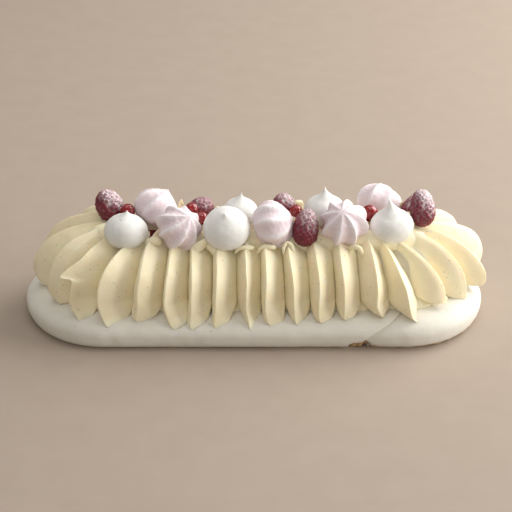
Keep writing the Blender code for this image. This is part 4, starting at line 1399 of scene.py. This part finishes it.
def drupelet_centres(topping, dice):
    """Centres at even levels, a little closer at both ends, each a golden angle on from the last."""
    order = np.arange(DRUPELETS)
    seat = -1 + 2 * (order + 0.5) / DRUPELETS
    seat = np.sign(seat) * (1 - (1 - np.abs(seat)) ** 1.15)
    seat = np.clip(seat + dice.normal(0, SEAT_SHAKE, DRUPELETS), -0.99, 0.99)
    swing = order * GOLDEN_ANGLE + dice.normal(0, SWING_SHAKE, DRUPELETS) + topping.spin
    return berry_points(topping, seat, swing)


print("golden angle", round(math.degrees(GOLDEN_ANGLE), 1), "degrees")

# %% Raspberry skins
FROST = (0.95, 0.45, 0.85, 0.66, 1.15, 0.95)
FROST_WAY = np.array([0.35, 0.1, 0.93])
BERRY_POLE = 0.03


def berry_skin(name, topping, frost, seed, rows=116, columns=168):
    """Push the body out over its drupelets, and paint the frost.

    Frost grows with how far a point faces FROST_WAY and with how near it is to a crease.
    """
    dice = np.random.default_rng(seed)
    half = topping.height / 2 * MM
    levels = -np.cos(np.linspace(BERRY_POLE, math.pi - BERRY_POLE, rows))
    level, angle = round_grid(levels, columns)
    points = berry_points(topping, level, angle)
    apart = np.linalg.norm(points[:, :, None, :] - drupelet_centres(topping, dice), axis=-1)
    rise = np.sqrt(np.clip(1 - (apart.min(axis=-1) / DRUPELET_REACH) ** 2, 0, 1))
    outwards = points / np.array([topping.radius, topping.radius, topping.height / 2]) ** 2
    outwards /= np.linalg.norm(outwards, axis=-1, keepdims=True)
    size = dice.uniform(0.8, 1.2, DRUPELETS)[apart.argmin(axis=-1)]
    points = points + outwards * ((rise * size - DRUPELET_SUNK) * DRUPELET_RISE)[..., None]
    low = placed(np.array([0, 0, -half + BERRY_ENDS / 2]), topping)
    high = placed(np.array([0, 0, half - BERRY_ENDS / 2]), topping)
    mesh = skin(name, low, placed(points, topping), high)
    up = smooth_step(0.0, 0.95, turned(outwards, topping) @ FROST_WAY)
    network = np.clip(1.2 - 1.35 * rise, 0, 1)
    pale_share = frost * (1.75 * up * (network + 0.55 * up) + 0.2 * network)
    paint(mesh, "frost", np.append(pale_share, [0, frost]))
    return mesh


for count, (topping, frost) in enumerate(zip(RASPBERRIES, FROST), 1):
    berry_mesh = berry_skin(f"raspberry_skin_{count}", topping, frost, 80 + count)
    add_piece(berry_mesh, raspberry_red, "raspberry", f"raspberry_{count}")
print("raspberries", len(RASPBERRIES), "with", len(berry_mesh.polygons), "faces each")

# %% [markdown]
# ## Redcurrants
#
# A redcurrant is a taut ball with a small dried flower end. It could be a plain sphere, but the dimple
# and the nub of the flower end are what tell it from a bead, so the radius is a formula of the polar
# angle: it dips and then rises close to the pole.

# %% Redcurrants
CURRANT_POLE = 0.02
DIMPLE = (-0.10, 0.35)
NUB = (0.16, 0.12)
MERIDIANS = 12


def currant_skin(name, x, y, z, radius, seed, rows=60, columns=72):
    """A ball whose radius dips by a tenth round one pole and rises in a narrow nub on it.

    Dip and nub are bell curves of the polar angle. Twelve faint meridians run between the poles.
    """
    polar, angle = round_grid(np.linspace(math.pi - CURRANT_POLE, CURRANT_POLE, rows), columns)
    dimple = sum(rise * np.exp(-((polar / width) ** 2)) for rise, width in (DIMPLE, NUB))
    size = radius * MM * (1 + dimple + 0.006 * np.cos(MERIDIANS * angle) * np.sin(polar))
    points = round_points(size * np.sin(polar), size * np.cos(polar), angle)
    lean = Topping(x, y, z, (0.4 * math.sin(seed), -0.5, 0.6), radius)
    ends = placed(np.array([[0, 0, -radius * MM], [0, 0, 1.06 * radius * MM]]), lean)
    return skin(name, ends[0], placed(points, lean), ends[1])


for count, (x, y, z, radius) in enumerate(REDCURRANTS, 1):
    currant_mesh = currant_skin(f"redcurrant_skin_{count}", x, y, z, radius, count)
    add_piece(currant_mesh, redcurrant_red, "redcurrant", f"redcurrant_{count}")
print("redcurrants", len(REDCURRANTS), "with", len(currant_mesh.polygons), "faces each")
